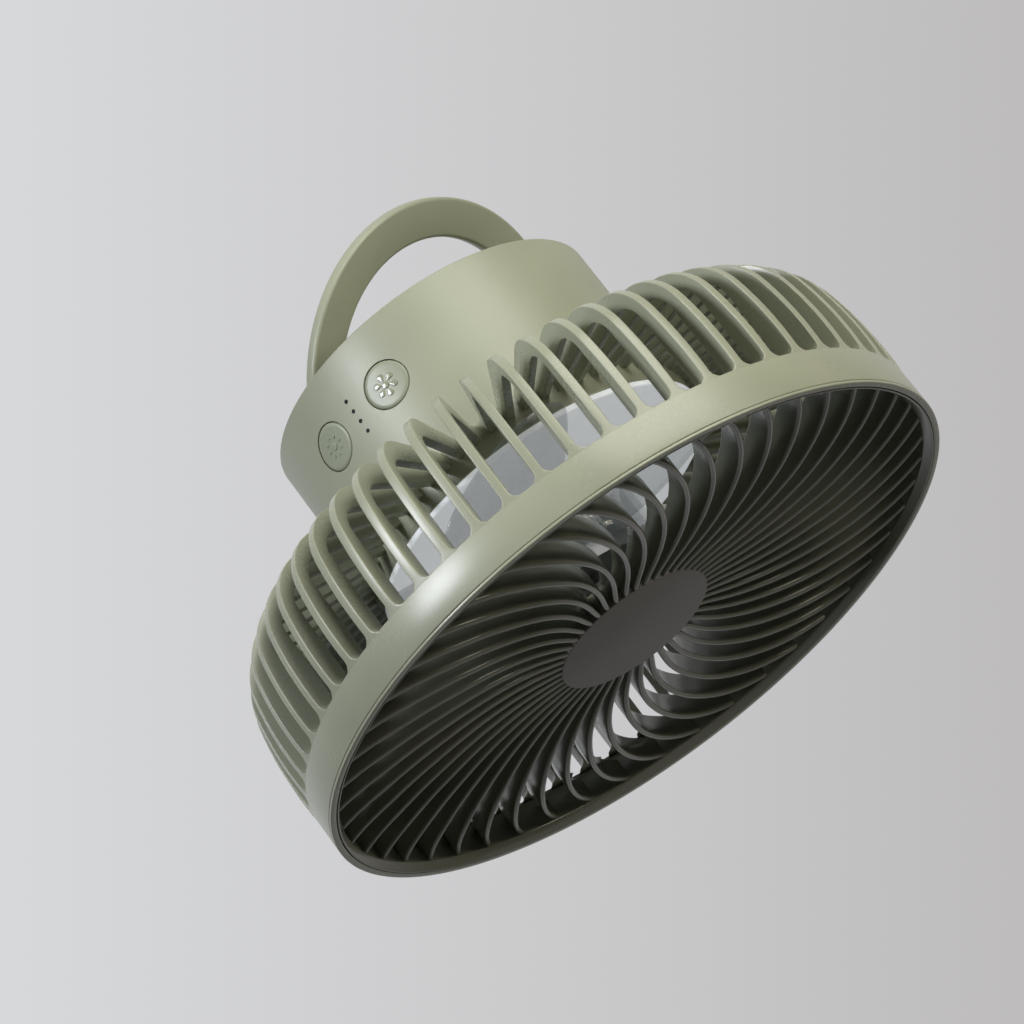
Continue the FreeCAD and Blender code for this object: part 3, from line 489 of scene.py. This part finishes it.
nodeFinish = {
    "rear_cage": sageSatin, "front_bezel": sageSatin, "front_grille": sageGrille, "hub_cap": badgePlastic,
    "body_shell": sagePlastic, "rear_cover": sagePlastic, "tripod_insert": insertBrass,
    "cage_screws": screwSteel, "cover_screws": screwSteel, "bail": sagePlastic, "bail_pins": screwSteel,
    "fan_button": buttonPlastic, "light_button": buttonPlastic, "tact_switches": cradleBlack,
    "button_board": boardGreen, "light_pipe": darkPipe, "motor_mount": mountPlastic,
    "motor_screws": screwSteel, "motor_bearings": screwSteel, "motor_shaft": screwSteel,
    "shaft_clip": screwSteel, "stator_core": coreSteel, "stator_windings": copperWire,
    "motor_board": boardGreen, "rotor_cup": screwSteel, "magnet_ring": magnetGrey, "impeller": clearBlade,
    "impeller_nut": mountPlastic, "lamp_lens": lensWhitePaintedGlow, "lamp_board": boardWhite, "lamp_chips": ledYellow,
    "battery_cradle": cradleBlack, "battery_cells": cellWrap, "main_board": boardGreen,
    "usb_socket": screwSteel,
}
for name, finish in nodeFinish.items():
    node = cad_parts[name]
    node.data.materials.clear()
    node.data.materials.append(finish)
print("finishes:", len(nodeFinish), "nodes")


# Rear cage: band, arched ribs with flared feet, and the collar round the lamp

cage = {
    "outer": 100.0, "bandLow": 1.0, "bandTop": 12.7, "bandWall": 1.9, "bandRound": 0.35,
    "ribCount": 60, "ribShift": 1.2, "ribWide": 2.5, "ribRound": 1.1, "flare": 2.4, "sunk": 0.7,
    "side": (99.95, 100.4, 98.56), "sideHigh": (22.0, 39.96), "corner": (79.0, 35.8, 20.0, 12.0, 86.7),
    "innerSide": 94.4, "innerCorner": (85.6, 38.8, 8.8, 0.0, 82.7), "rootRad": 51.6, "rootDeep": 5.4,
    "sideSteps": 16, "crowding": 1.6, "cornerSteps": 18, "roofSteps": 5,
    "collarRad": 52.4, "collarLow": 47.0, "collarWall": 2.8, "collarRound": 0.3,
    "domeTop": 57.4, "bulkhead": 3.0, "wireHole": 3.5,
}


def onCorner(corner, share):
    # a point of a rounded corner given as its centre, radius and first and last angle
    across, high, radius, first, last = corner
    angle = math.radians(first + (last - first) * share)
    return Vector((across + radius * math.cos(angle), high + radius * math.sin(angle)))


def ribLines(c):
    # the rib's outer and inner line, point by point: up the bowed side, round the corner, over to the collar
    foot = c["bandTop"] - c["sunk"]
    low, middle, high = foot, c["sideHigh"][0], c["sideHigh"][1]
    outer, inner = [], []
    for i in range(c["sideSteps"]):
        share = (i / c["sideSteps"]) ** c["crowding"]
        at = low + (high - low) * share
        bow = [(at - b) * (at - d) / ((a - b) * (a - d)) for a, b, d in (
            (low, middle, high), (middle, low, high), (high, low, middle))]
        outer.append(Vector((sum(part * radius for part, radius in zip(bow, c["side"])), at)))
        inner.append(Vector((c["innerSide"], low + (c["innerCorner"][1] - low) * share)))
    for i in range(c["cornerSteps"] + 1):
        share = i / c["cornerSteps"]
        outer.append(onCorner(c["corner"], share))
        inner.append(onCorner(c["innerCorner"], share))
    for line, root in ((outer, c["domeTop"]), (inner, c["domeTop"] - c["rootDeep"])):
        start, end = line[-1], Vector((c["rootRad"], root))
        line += [start.lerp(end, (i + 1) / c["roofSteps"]) for i in range(c["roofSteps"])]
    return outer, inner


def ribFrom(c):
    # a flat strip laid along the two lines, thickened, rounded, and flared where it leaves the band
    outer, inner = ribLines(c)
    deselectAll()
    bpy.ops.mesh.primitive_grid_add(x_subdivisions=len(outer) - 1, y_subdivisions=2, size=2)
    rib = bpy.context.object
    for point in rib.data.vertices:
        i = round((point.co.x + 1) / 2 * (len(outer) - 1))
        place = inner[i].lerp(outer[i], (point.co.y + 1) / 2)
        point.co = Vector((place.x, 0, place.y)) * mm
    thicken(rib, c["ribWide"])
    bevelEdges(rib, c["ribRound"], 5, 60)
    for point in rib.data.vertices:
        above = max(0.0, min(1.0, (point.co.z / mm - c["bandTop"]) / c["flare"]))
        wide = c["ribWide"] + 2 * c["flare"] * (1 - math.sqrt(1 - (1 - above) ** 2))
        point.co.y *= wide / c["ribWide"]
    return rib


def cageFrom(c):
    parts = repeatAround(ribFrom(c), c["ribCount"], c["ribShift"])
    for part in parts:
        smoothSides(part, 40)
    parts.append(turnedPiece("band", [
        (c["outer"] - c["bandWall"], c["bandLow"]),
        (c["outer"], c["bandLow"]),
        (c["outer"], c["bandTop"]),
        (c["outer"] - c["bandWall"], c["bandTop"]),
    ], 240, 360, c["bandRound"]))
    collarIn = c["collarRad"] - c["collarWall"]
    low = c["domeTop"] - c["bulkhead"]
    parts.append(turnedPiece("collar", [
        (c["wireHole"], low),
        (collarIn, low),
        (collarIn, c["collarLow"]),
        (c["collarRad"], c["collarLow"]),
        (c["collarRad"], c["domeTop"]),
        (c["wireHole"], c["domeTop"]),
    ], 180, 360, c["collarRound"], 2))
    return joinAll("cageRibs", parts)


fit(cageFrom(cage), "housing", sageSatin, "rear_cage")
print("cage done")


# Front bezel, with the grille's rim seated inside it

bezel = {"outer": 100.0, "wide": 1.9, "high": 0.96, "round": 0.34}
rimIn = bezel["outer"] - bezel["wide"]
ring = turnedPiece("bezelRing", [
    (rimIn, 0.0),
    (bezel["outer"], 0.0),
    (bezel["outer"], bezel["high"]),
    (rimIn, bezel["high"]),
], 240, 360, bezel["round"])
fit(ring, "housing", sageSatin, "front_bezel")

grille = {
    "rimOut": 97.9, "rimIn": 95.8, "rimBack": 11.0, "slope": 2.2, "lip": 0.5, "rimRound": 0.2,
    "vanes": 48, "shift": 3.0, "start": 22.6, "end": 96.85, "spans": 22, "ease": 3.0,
    "thick": 1.8, "back": 10.0, "round": 0.84,
    "hubOut": 23.4, "hubIn": 20.8, "hubFront": 5.0, "hubPlate": 1.8, "hubHole": 4.0, "hubRound": 0.3,
}
vaneSweep = [
    (22.6, -3.3), (26, -2.6), (30, -0.95), (36, 0.0), (42, -0.15), (50, -1.3), (60, -3.8), (70, -6.8),
    (80, -10.4), (90, -14.4), (96.85, -18.1),
]
vaneFront = [
    (22.6, 3.0), (30, 2.9), (40, 2.5), (50, 2.0), (60, 1.5), (66, 1.25), (80, 1.25), (88, 1.7), (97, 2.4),
]


def between(table, at):
    # a straight reading between the listed places
    for (x0, y0), (x1, y1) in zip(table, table[1:]):
        if at <= x1:
            share = max(0.0, (at - x0) / (x1 - x0))
            return y0 + (y1 - y0) * share
    return table[-1][1]


def smoothly(table, at, ease):
    # the mean of five readings within a few mm, so that no corner shows where two spans meet
    reach = min(ease, at - table[0][0], table[-1][0] - at)
    steps = (-1, -0.5, 0, 0.5, 1)
    return sum(between(table, at + reach * step) for step in steps) / len(steps)


def vaneFrom(g):
    # one upright edge, drawn out from the hub to the rim, then given its thickness and round edges
    fronts = []
    for i in range(g["spans"] + 1):
        radius = g["start"] + (g["end"] - g["start"]) * i / g["spans"]
        angle, high = (smoothly(table, radius, g["ease"]) for table in (vaneSweep, vaneFront))
        fronts.append(around(radius, angle, high) * mm)
    back = g["back"] * mm
    vane = startPoint(fronts[0])
    bpy.ops.mesh.extrude_region_move(TRANSFORM_OT_translate={"value": (0, 0, back - fronts[0].z)})
    bpy.ops.mesh.select_all(action="SELECT")
    for last, new in zip(fronts, fronts[1:]):
        step = Vector((new.x - last.x, new.y - last.y, 0))
        bpy.ops.mesh.extrude_region_move(TRANSFORM_OT_translate={"value": step})
        scale = (back - new.z) / (back - last.z)
        bpy.ops.transform.resize(value=(1, 1, scale), center_override=(0, 0, back))
    closeUp()
    thicken(vane, g["thick"])
    bevelEdges(vane, g["round"], 3, 60)
    smoothSides(vane, 50)
    return vane


def grilleFrom(g):
    parts = repeatAround(vaneFrom(g), g["vanes"], g["shift"])
    parts.append(turnedPiece("rim", [
        (g["rimOut"], 0.0),
        (g["rimOut"], g["rimBack"]),
        (g["rimIn"], g["rimBack"]),
        (g["rimIn"], g["slope"]),
        (g["rimOut"] - g["lip"], 0.0),
    ], 240, 360, g["rimRound"], 2))
    parts.append(turnedPiece("hub", [
        (g["hubHole"], g["hubFront"]),
        (g["hubOut"], g["hubFront"]),
        (g["hubOut"], g["back"]),
        (g["hubIn"], g["back"]),
        (g["hubIn"], g["hubFront"] + g["hubPlate"]),
        (g["hubHole"], g["hubFront"] + g["hubPlate"]),
    ], 96, 360, g["hubRound"], 2))
    return joinAll("spiralGrille", parts)


fit(grilleFrom(grille), "housing", sageGrille, "front_grille")

badge = {"rad": 23.9, "face": 2.9, "seat": 5.0, "round": 0.3, "pinRad": 3.9, "pinEnd": 6.8}
disc = turnedPiece("badgeDisc", [
    (0.0, badge["face"]),
    (badge["rad"], badge["face"]),
    (badge["rad"], badge["seat"]),
    (badge["pinRad"], badge["seat"]),
    (badge["pinRad"], badge["pinEnd"]),
    (0.0, badge["pinEnd"]),
], 120, 360, badge["round"])
fit(disc, "housing", badgePlastic, "hub_cap")
print("front done")


# Impeller: smoky clear blades on a hollow hub

blades = {
    "count": 5, "shift": -65.0, "start": 21.5, "tip": 85.0, "thick": 1.5, "camber": 0.09, "tipRound": 13.0,
    "chords": (25, 48, 54), "pitches": (42, 26, 17), "heights": (32, 29, 26.5), "along": 30, "across": 18,
    "edge": 0.55, "hubRad": 22.5, "hubFront": 18.5, "hubBack": 43.6, "hubRound": 0.3, "skin": 1.9,
    "noseRad": 14.0, "noseSlope": 7.5, "noseWide": 1.5, "noseSkin": 0.6,
    "sleeve": 15.7, "sleeveDeep": 2.0, "sleeveBack": 41.0, "shaft": 1.55, "cupSeat": 20.6,
}


def through(three, share):
    # the curve through three values, at the start, the middle and the end
    a, b, c = three
    return a * (1 - share) * (1 - 2 * share) + b * 4 * share * (1 - share) + c * share * (2 * share - 1)


def bladeFrom(b):
    # a flat grid, bent so that its chord, pitch and height change from the hub to the tip
    deselectAll()
    bpy.ops.mesh.primitive_grid_add(x_subdivisions=b["along"], y_subdivisions=b["across"], size=2)
    blade = bpy.context.object
    for point in blade.data.vertices:
        share = (point.co.x + 1) / 2
        reach = b["start"] + (b["tip"] - b["start"]) * share
        chord = through(b["chords"], share)
        fromTip = b["tip"] - reach
        trim = 0.0
        if fromTip < b["tipRound"]:
            short = b["tipRound"] - fromTip
            trim = b["tipRound"] - math.sqrt(b["tipRound"] ** 2 - short ** 2)
        across = point.co.y * (chord / 2 - trim)
        up = chord * b["camber"] * (1 - (2 * across / chord) ** 2)
        lean = math.radians(through(b["pitches"], share))
        point.co = Vector((
            reach,
            across * math.cos(lean) - up * math.sin(lean),
            across * math.sin(lean) + up * math.cos(lean) + through(b["heights"], share),
        )) * mm
    thicken(blade, b["thick"])
    bevelEdges(blade, b["edge"], 3, 60)
    smoothSides(blade, 60)
    return blade


def impellerFrom(b):
    parts = repeatAround(bladeFrom(b), b["count"], b["shift"])
    inside, sleeveOut = b["hubRad"] - b["skin"], b["sleeve"] + b["skin"]
    middle, nose = b["hubFront"] + b["noseSlope"] / 2, b["hubFront"] + b["noseSlope"]
    parts.append(turnedPiece("impellerHub", [
        (b["shaft"], b["hubFront"]),
        (b["noseRad"], b["hubFront"]),
        (b["hubRad"] - b["noseWide"], middle),
        (b["hubRad"], nose),
        (b["hubRad"], b["hubBack"]),
        (inside, b["hubBack"]),
        (inside, nose + b["noseSkin"]),
        (sleeveOut, middle + b["sleeveDeep"]),
        (sleeveOut, b["sleeveBack"]),
        (b["sleeve"], b["sleeveBack"]),
        (b["sleeve"], b["cupSeat"]),
        (b["shaft"], b["cupSeat"]),
    ], 96, 360, b["hubRound"], 2))
    return joinAll("clearImpeller", parts)


fit(impellerFrom(blades), "rotor", clearBlade, "impeller")
print("impeller done")


# Lamp: the milky ring seated on the collar

lens = {
    "in": 21.0, "out": 52.4, "face": 45.2, "seat": 47.0, "wall": 1.5, "skirtOut": 49.4, "skirtEnd": 50.0,
    "round": 0.45,
}
ring = turnedPiece("lensRing", [
    (lens["in"], lens["face"]),
    (lens["out"], lens["face"]),
    (lens["out"], lens["seat"]),
    (lens["skirtOut"], lens["seat"]),
    (lens["skirtOut"], lens["skirtEnd"]),
    (lens["skirtOut"] - lens["wall"], lens["skirtEnd"]),
    (lens["skirtOut"] - lens["wall"], lens["face"] + lens["wall"]),
    (lens["in"] + lens["wall"], lens["face"] + lens["wall"]),
    (lens["in"] + lens["wall"], lens["skirtEnd"]),
    (lens["in"], lens["skirtEnd"]),
], 180, 360, lens["round"])
fit(ring, "housing", lensWhitePaintedGlow, "lamp_lens")


# Rear body with its button and light holes

body = {
    "rad": 51.4, "wall": 2.4, "low": 57.4, "end": 101.5, "rimWall": 1.5, "recessIn": 95.2, "round": 0.7,
    "buttonHigh": 83.3, "buttonSide": 12.1, "buttonRad": 6.6, "gap": 0.28,
    "lightLow": 77.8, "lightStep": 3.57, "lights": 4, "lightRad": 0.62,
    "socketWide": 9.6, "socketTall": 3.8, "socketHigh": 82.9, "socketRound": 1.6,
    "ahead": 4, "buttonDeep": 14, "lightDeep": 12, "socketDeep": 12,
}


def shellFrom(s):
    inner = s["rad"] - s["wall"]
    shell = turnedPiece("bodyBarrel", [
        (inner, s["low"]),
        (s["rad"], s["low"]),
        (s["rad"], s["end"]),
        (s["rad"] - s["rimWall"], s["end"]),
        (s["rad"] - s["rimWall"], s["recessIn"]),
        (inner, s["recessIn"]),
    ], 180, 360, s["round"], 4)
    front = -(s["rad"] + s["ahead"])
    tools = []
    for side in (1, -1):
        place = (s["buttonSide"] * side, front, s["buttonHigh"])
        tools.append(roundBar(s["buttonRad"] + s["gap"], s["buttonDeep"], place, "Y", 96))
    for i in range(s["lights"]):
        place = (0, front, s["lightLow"] + s["lightStep"] * i)
        tools.append(roundBar(s["lightRad"], s["lightDeep"], place, "Y", 24))
    deselectAll()
    bpy.ops.mesh.primitive_cube_add(size=mm, location=(0, s["rad"] * mm, s["socketHigh"] * mm))
    slot = bpy.context.object
    slot.scale = (s["socketWide"], s["socketDeep"], s["socketTall"])
    settle(slot)
    enterEdit(slot, "EDGE")
    leaveEdit()
    for edge in slot.data.edges:
        first, second = (slot.data.vertices[i].co for i in edge.vertices)
        edge.select = abs(first.y - second.y) > mm
    bpy.ops.object.mode_set(mode="EDIT")
    bpy.ops.mesh.bevel(offset=s["socketRound"] * mm, segments=6)
    leaveEdit()
    tools.append(slot)
    cutAway(shell, tools)
    smoothSides(shell)
    return shell


fit(shellFrom(body), "housing", sagePlastic, "body_shell")
print("body done")


# Buttons: caps that follow the barrel, each with a raised sign

buttons = {
    "rad": 6.6, "back": 43.3, "insets": (0.3, 0.9, 1.2, 1.2, 1.2), "below": 0.02, "edge": 0.35, "fall": 0.3,
    "raise": 0.22, "petalRad": 0.72, "petalHigh": 0.6, "narrow": 0.62, "long": 0.55, "round": 0.16,
}
signs = {
    "fanCap": {"side": 1, "petals": 6, "reach": 2.6, "size": 1.32, "middle": 1.0},
    "lightCap": {"side": -1, "petals": 8, "reach": 2.7, "size": 0.5, "middle": 1.1},
}


def capFrom(name, x, b, s):
    # a rod whose front is brought onto the barrel's curve ring by ring
    cap = roundBar(b["rad"], s["rad"] - b["back"], (x, -s["rad"], s["buttonHigh"]), "Y", 72)
    enterEdit(cap)
    pickFaces(cap, lambda centre, normal: normal.y < -0.9)
    for inset in b["insets"]:
        bpy.ops.mesh.inset(thickness=inset * mm)
    leaveEdit()
    curve = (s["rad"] - b["below"]) * mm
    for point in cap.data.vertices:
        if point.co.y < -(s["rad"] - 0.1) * mm:
            away = Vector((point.co.x - x * mm, point.co.z - s["buttonHigh"] * mm)).length / mm
            edge = max(0.0, away - (b["rad"] - b["edge"])) / b["edge"]
            point.co.y = -math.sqrt(curve ** 2 - point.co.x ** 2) + b["fall"] * mm * edge ** 2
    smoothSides(cap, 50)
    cap.name = name
    return cap


def petalFrom(b):
    # a low round pad, narrowed and lengthened below to a drop
    deselectAll()
    bpy.ops.mesh.primitive_cylinder_add(
        vertices=24, radius=b["petalRad"] * mm, depth=b["petalHigh"] * mm, rotation=(math.pi / 2, 0, 0)
    )
    drop = bpy.context.object
    settle(drop)
    for point in drop.data.vertices:
        low = max(0.0, -point.co.z / (b["petalRad"] * mm))
        point.co.x *= 1 - b["narrow"] * low
        point.co.z *= 1 + b["long"] * low
    bevelEdges(drop, b["round"], 3, 60)
    smoothSides(drop, 60)
    return drop


def raisedSign(cap, x, b, s, sign):
    # petals round a dot, bedded on the cap's curve
    parts = [cap]
    for i in range(sign["petals"]):
        drop = petalFrom(b)
        drop.data.transform(Matrix.Scale(sign["size"], 4))
        drop.data.transform(Matrix.Translation((0, 0, sign["reach"] * mm)))
        drop.data.transform(Matrix.Rotation(turn / sign["petals"] * i, 4, "Y"))
        parts.append(drop)
    half = b["petalHigh"] / 2 * sign["size"]
    dot = roundBar(sign["middle"], 2 * half, (0, -half, 0), "Y", 32)
    bevelEdges(dot, b["round"], 3, 60)
    smoothSides(dot, 60)
    parts.append(dot)
    lift = (half - b["raise"]) * mm
    for part in parts[1:]:
        for point in part.data.vertices:
            point.co += Vector((x, 0, s["buttonHigh"])) * mm
            point.co.y += lift - math.sqrt((s["rad"] * mm) ** 2 - point.co.x ** 2)
    return joinAll(cap.name, parts)


caps = {}
for name, sign in signs.items():
    x = body["buttonSide"] * sign["side"]
    caps[name] = raisedSign(capFrom(name, x, buttons, body), x, buttons, body, sign)
fit(caps["fanCap"], "fan_button", signPlastic, "fan_button")
fit(caps["lightCap"], "light_button", buttonPlastic, "light_button")
print("buttons done")


# Rear cover with the recess that the bail folds into

cover = {
    "out": 49.7, "floor": 97.4, "low": 95.2, "island": 37.8, "top": 101.3, "insert": 5.02, "boss": 8.0,
    "bossLow": 92.3, "thick": 2.2, "round": 0.5,
    "screws": 4, "screwShift": 45, "screwRing": 45.5, "screwSink": 2.65, "screwSeat": 96.0, "above": 4,
    "screwHead": 2.38, "screwHigh": 1.28, "screwRound": 0.42, "screwRad": 1.2, "screwLong": 12,
    "crossLong": 2.9, "crossWide": 0.62, "crossDeep": 0.9, "crossTurns": (0.3, 1.1, 0.7, 0.05),
}


def coverFrom(c):
    plate = turnedPiece("rearCover", [
        (c["insert"], c["bossLow"]),
        (c["boss"], c["bossLow"]),
        (c["boss"], c["top"] - c["thick"]),
        (c["island"] - c["thick"], c["top"] - c["thick"]),
        (c["island"] - c["thick"], c["low"]),
        (c["out"], c["low"]),
        (c["out"], c["floor"]),
        (c["island"], c["floor"]),
        (c["island"], c["top"]),
        (c["insert"], c["top"]),
    ], 180, 360, c["round"])
    tools = []
    for i in range(c["screws"]):
        place = around(c["screwRing"], c["screwShift"] + 360 / c["screws"] * i, c["screwSeat"])
        tools.append(roundBar(c["screwSink"], c["above"], place, "Z"))
    cutAway(plate, tools)
    smoothSides(plate)
    return plate


def coverScrewFrom(c, crossTurn):
    # a pan head with a cross recess, on its shank
    head = roundBar(c["screwHead"], c["screwHigh"], (c["screwRing"], 0, c["screwSeat"]), "Z")
    bevelEdges(head, c["screwRound"], 4, 60)
    slots = []
    for turned in (crossTurn, crossTurn + math.pi / 2):
        deselectAll()
        bpy.ops.mesh.primitive_cube_add(size=mm)
        slot = bpy.context.object
        top = Vector((c["screwRing"], 0, c["screwSeat"] + c["screwHigh"])) * mm
        slot.data.transform(Matrix.Diagonal((c["crossLong"], c["crossWide"], 2 * c["crossDeep"], 1)))
        slot.data.transform(Matrix.Rotation(turned, 4, "Z"))
        slot.data.transform(Matrix.Translation(top))
        slots.append(slot)
    cutAway(head, slots)
    smoothSides(head)
    end = (c["screwRing"], 0, c["screwSeat"] - c["screwLong"])
    shank = roundBar(c["screwRad"], c["screwLong"], end, "Z", 24)
    smoothSides(shank)
    return joinAll("coverScrew", [head, shank])


fit(coverFrom(cover), "housing", sagePlastic, "rear_cover")
coverScrews = []
for i, crossTurn in enumerate(cover["crossTurns"]):
    place = cover["screwShift"] + 360 / cover["screws"] * i
    coverScrews += repeatAround(coverScrewFrom(cover, crossTurn), 1, place)
fit(joinAll("coverScrews", coverScrews), "housing", screwSteel, "cover_screws")


# Bail: a flat half ring with rounded edges, on two round ends

bail = {
    "out": 49.26, "in": 38.2, "thick": 3.6, "round": 1.0, "endRound": 0.4,
    "tilt": 46.0, "facing": -12.0, "pivot": 99.5,
}


def bailFrom(b):
    half = b["thick"] / 2
    plate = turnedPiece("halfRing", [
        (b["in"], -half), (b["out"], -half), (b["out"], half), (b["in"], half),
    ], 120, 180, b["round"], 4)
    plate.data.transform(Matrix.Rotation(math.pi / 2, 4, "Z"))
    parts = [plate]
    for start in (b["in"], -b["out"]):
        end = roundBar(half, b["out"] - b["in"], (0, start, 0), "Y", 48)
        bevelEdges(end, b["endRound"], 3, 60)
        smoothSides(end, 50)
        parts.append(end)
    ring = joinAll("bailRing", parts)
    ring.data.transform(Matrix.Rotation(math.radians(b["tilt"] - 90), 4, "Y"))
    ring.data.transform(Matrix.Rotation(math.radians(b["facing"]), 4, "Z"))
    ring.data.transform(Matrix.Translation((0, 0, b["pivot"] * mm)))
    return ring


fit(bailFrom(bail), "bail", sagePlastic, "bail")
print("bail done")


# Floor, lamps and camera

studio = {
    "floorDrop": 1.6, "floorSize": 3.2, "floorShown": 0.62,
    "ambient": 0.032, "backdropHalf": 0.12, "roomReach": 0.8,
    "eye": (542.688, -1003.700, -431.949), "ahead": (-0.44287, 0.80690, 0.39087),
    "right": (0.58336, 0.59038, -0.55780),
    "lens": 158.2, "sensor": 36.0, "near": 0.05, "far": 50,
}
shownRays = ("Is Camera Ray", "Is Glossy Ray", "Is Transmission Ray")

deselectAll()
bpy.ops.mesh.primitive_plane_add(size=studio["floorSize"], location=(0, 0, -studio["floorDrop"]))
floor = bpy.context.object
floor.name = "studioFloor"
settle(floor)
floorFinish = Finish("paleFloor")
cloud = floorFinish.noise(220, 2)
floorFinish.shade(
    Base_Color=floorFinish.mix(cloud, shade(206, 206, 208), shade(214, 214, 216)),
    Roughness=0.85,
    Normal=floorFinish.bump(floorFinish.noise(3, 3), 0.1, 0.2),
)
pale = floorFinish.add("ShaderNodeEmission", {}, {"Color": shade(234, 234, 235)})
shown = floorFinish.rays(*shownRays) * studio["floorShown"]
both = floorFinish.add("ShaderNodeMixShader", {}, {0: shown, 1: floorFinish.plain, 2: pale})
floorFinish.put(floorFinish.surface, both)
floor.data.materials.append(floorFinish.material)

# A pale backdrop, darker to the right, and in what shines a darker room behind the camera
world = bpy.data.worlds.new("studio")
bpy.context.scene.world = world
sky = Nodes(world)
direction = sky.add("ShaderNodeTexCoord", {}, {}, "Generated")
across = sky.spread(sky.along(direction, studio["right"]), -studio["backdropHalf"], studio["backdropHalf"])
backdrop = sky.mix(across, shade(216, 217, 219), shade(189, 187, 188))
front = sky.spread(sky.along(direction, studio["ahead"]), 0.0, studio["roomReach"])
facing = front.sum("MAXIMUM", front, sky.rays("Is Camera Ray"))
room = sky.mix(facing, shade(74, 68, 62), backdrop)
pale = sky.add("ShaderNodeBackground", {}, {"Color": room, "Strength": 1.0})
soft = sky.add("ShaderNodeBackground", {}, {"Color": shade(232, 226, 216), "Strength": studio["ambient"]})
both = sky.add("ShaderNodeMixShader", {}, {0: sky.rays(*shownRays), 1: soft, 2: pale})
sky.put(sky.tree.nodes.new("ShaderNodeOutputWorld").inputs["Surface"], both)

right = Vector(studio["right"]).normalized()
ahead = Vector(studio["ahead"]).normalized()
up = right.cross(ahead).normalized()
middle = (cadLow + cadHigh) / 2


lamps = {
    "overheadLamp": {"size": 0.8, "watts": 10, "colour": (1.0, 0.985, 0.92), "place": (0.12, 1.06, 0.54)},
    "windowLamp": {"size": 0.36, "watts": 10, "colour": (0.91, 0.93, 1.0), "place": (-1.06, 0.22, 0.62)},
    "sideLamp": {"size": 0.3, "watts": 4, "colour": (1.0, 0.93, 0.78), "place": (0.85, 0.74, 0.64)},
}


def softLamp(name, size, watts, colour, place):
    # a square lamp, placed to the picture's right, upwards and towards the camera, and aimed at the fan
    data = bpy.data.lights.new(name, "AREA")
    data.shape, data.size, data.energy, data.color = "SQUARE", size, watts, colour
    lamp = bpy.data.objects.new(name, data)
    bpy.context.scene.collection.objects.link(lamp)
    lamp.location = middle + right * place[0] + up * place[1] - ahead * place[2]
    lamp.rotation_mode = "QUATERNION"
    lamp.rotation_quaternion = (middle - lamp.location).to_track_quat("-Z", "Y")


for name, lamp in lamps.items():
    softLamp(name, **lamp)

lensData = bpy.data.cameras.new("photoLens")
lensData.lens, lensData.sensor_width = studio["lens"], studio["sensor"]
lensData.clip_start, lensData.clip_end = studio["near"], studio["far"]
camera = bpy.data.objects.new("photoCamera", lensData)
bpy.context.scene.collection.objects.link(camera)
camera.matrix_world = Matrix((
    (right.x, up.x, -ahead.x, studio["eye"][0] * mm),
    (right.y, up.y, -ahead.y, studio["eye"][1] * mm),
    (right.z, up.z, -ahead.z, studio["eye"][2] * mm),
    (0, 0, 0, 1),
))
bpy.context.scene.camera = camera
bpy.context.scene.view_settings.view_transform = "Standard"
deselectAll()
print("studio done")
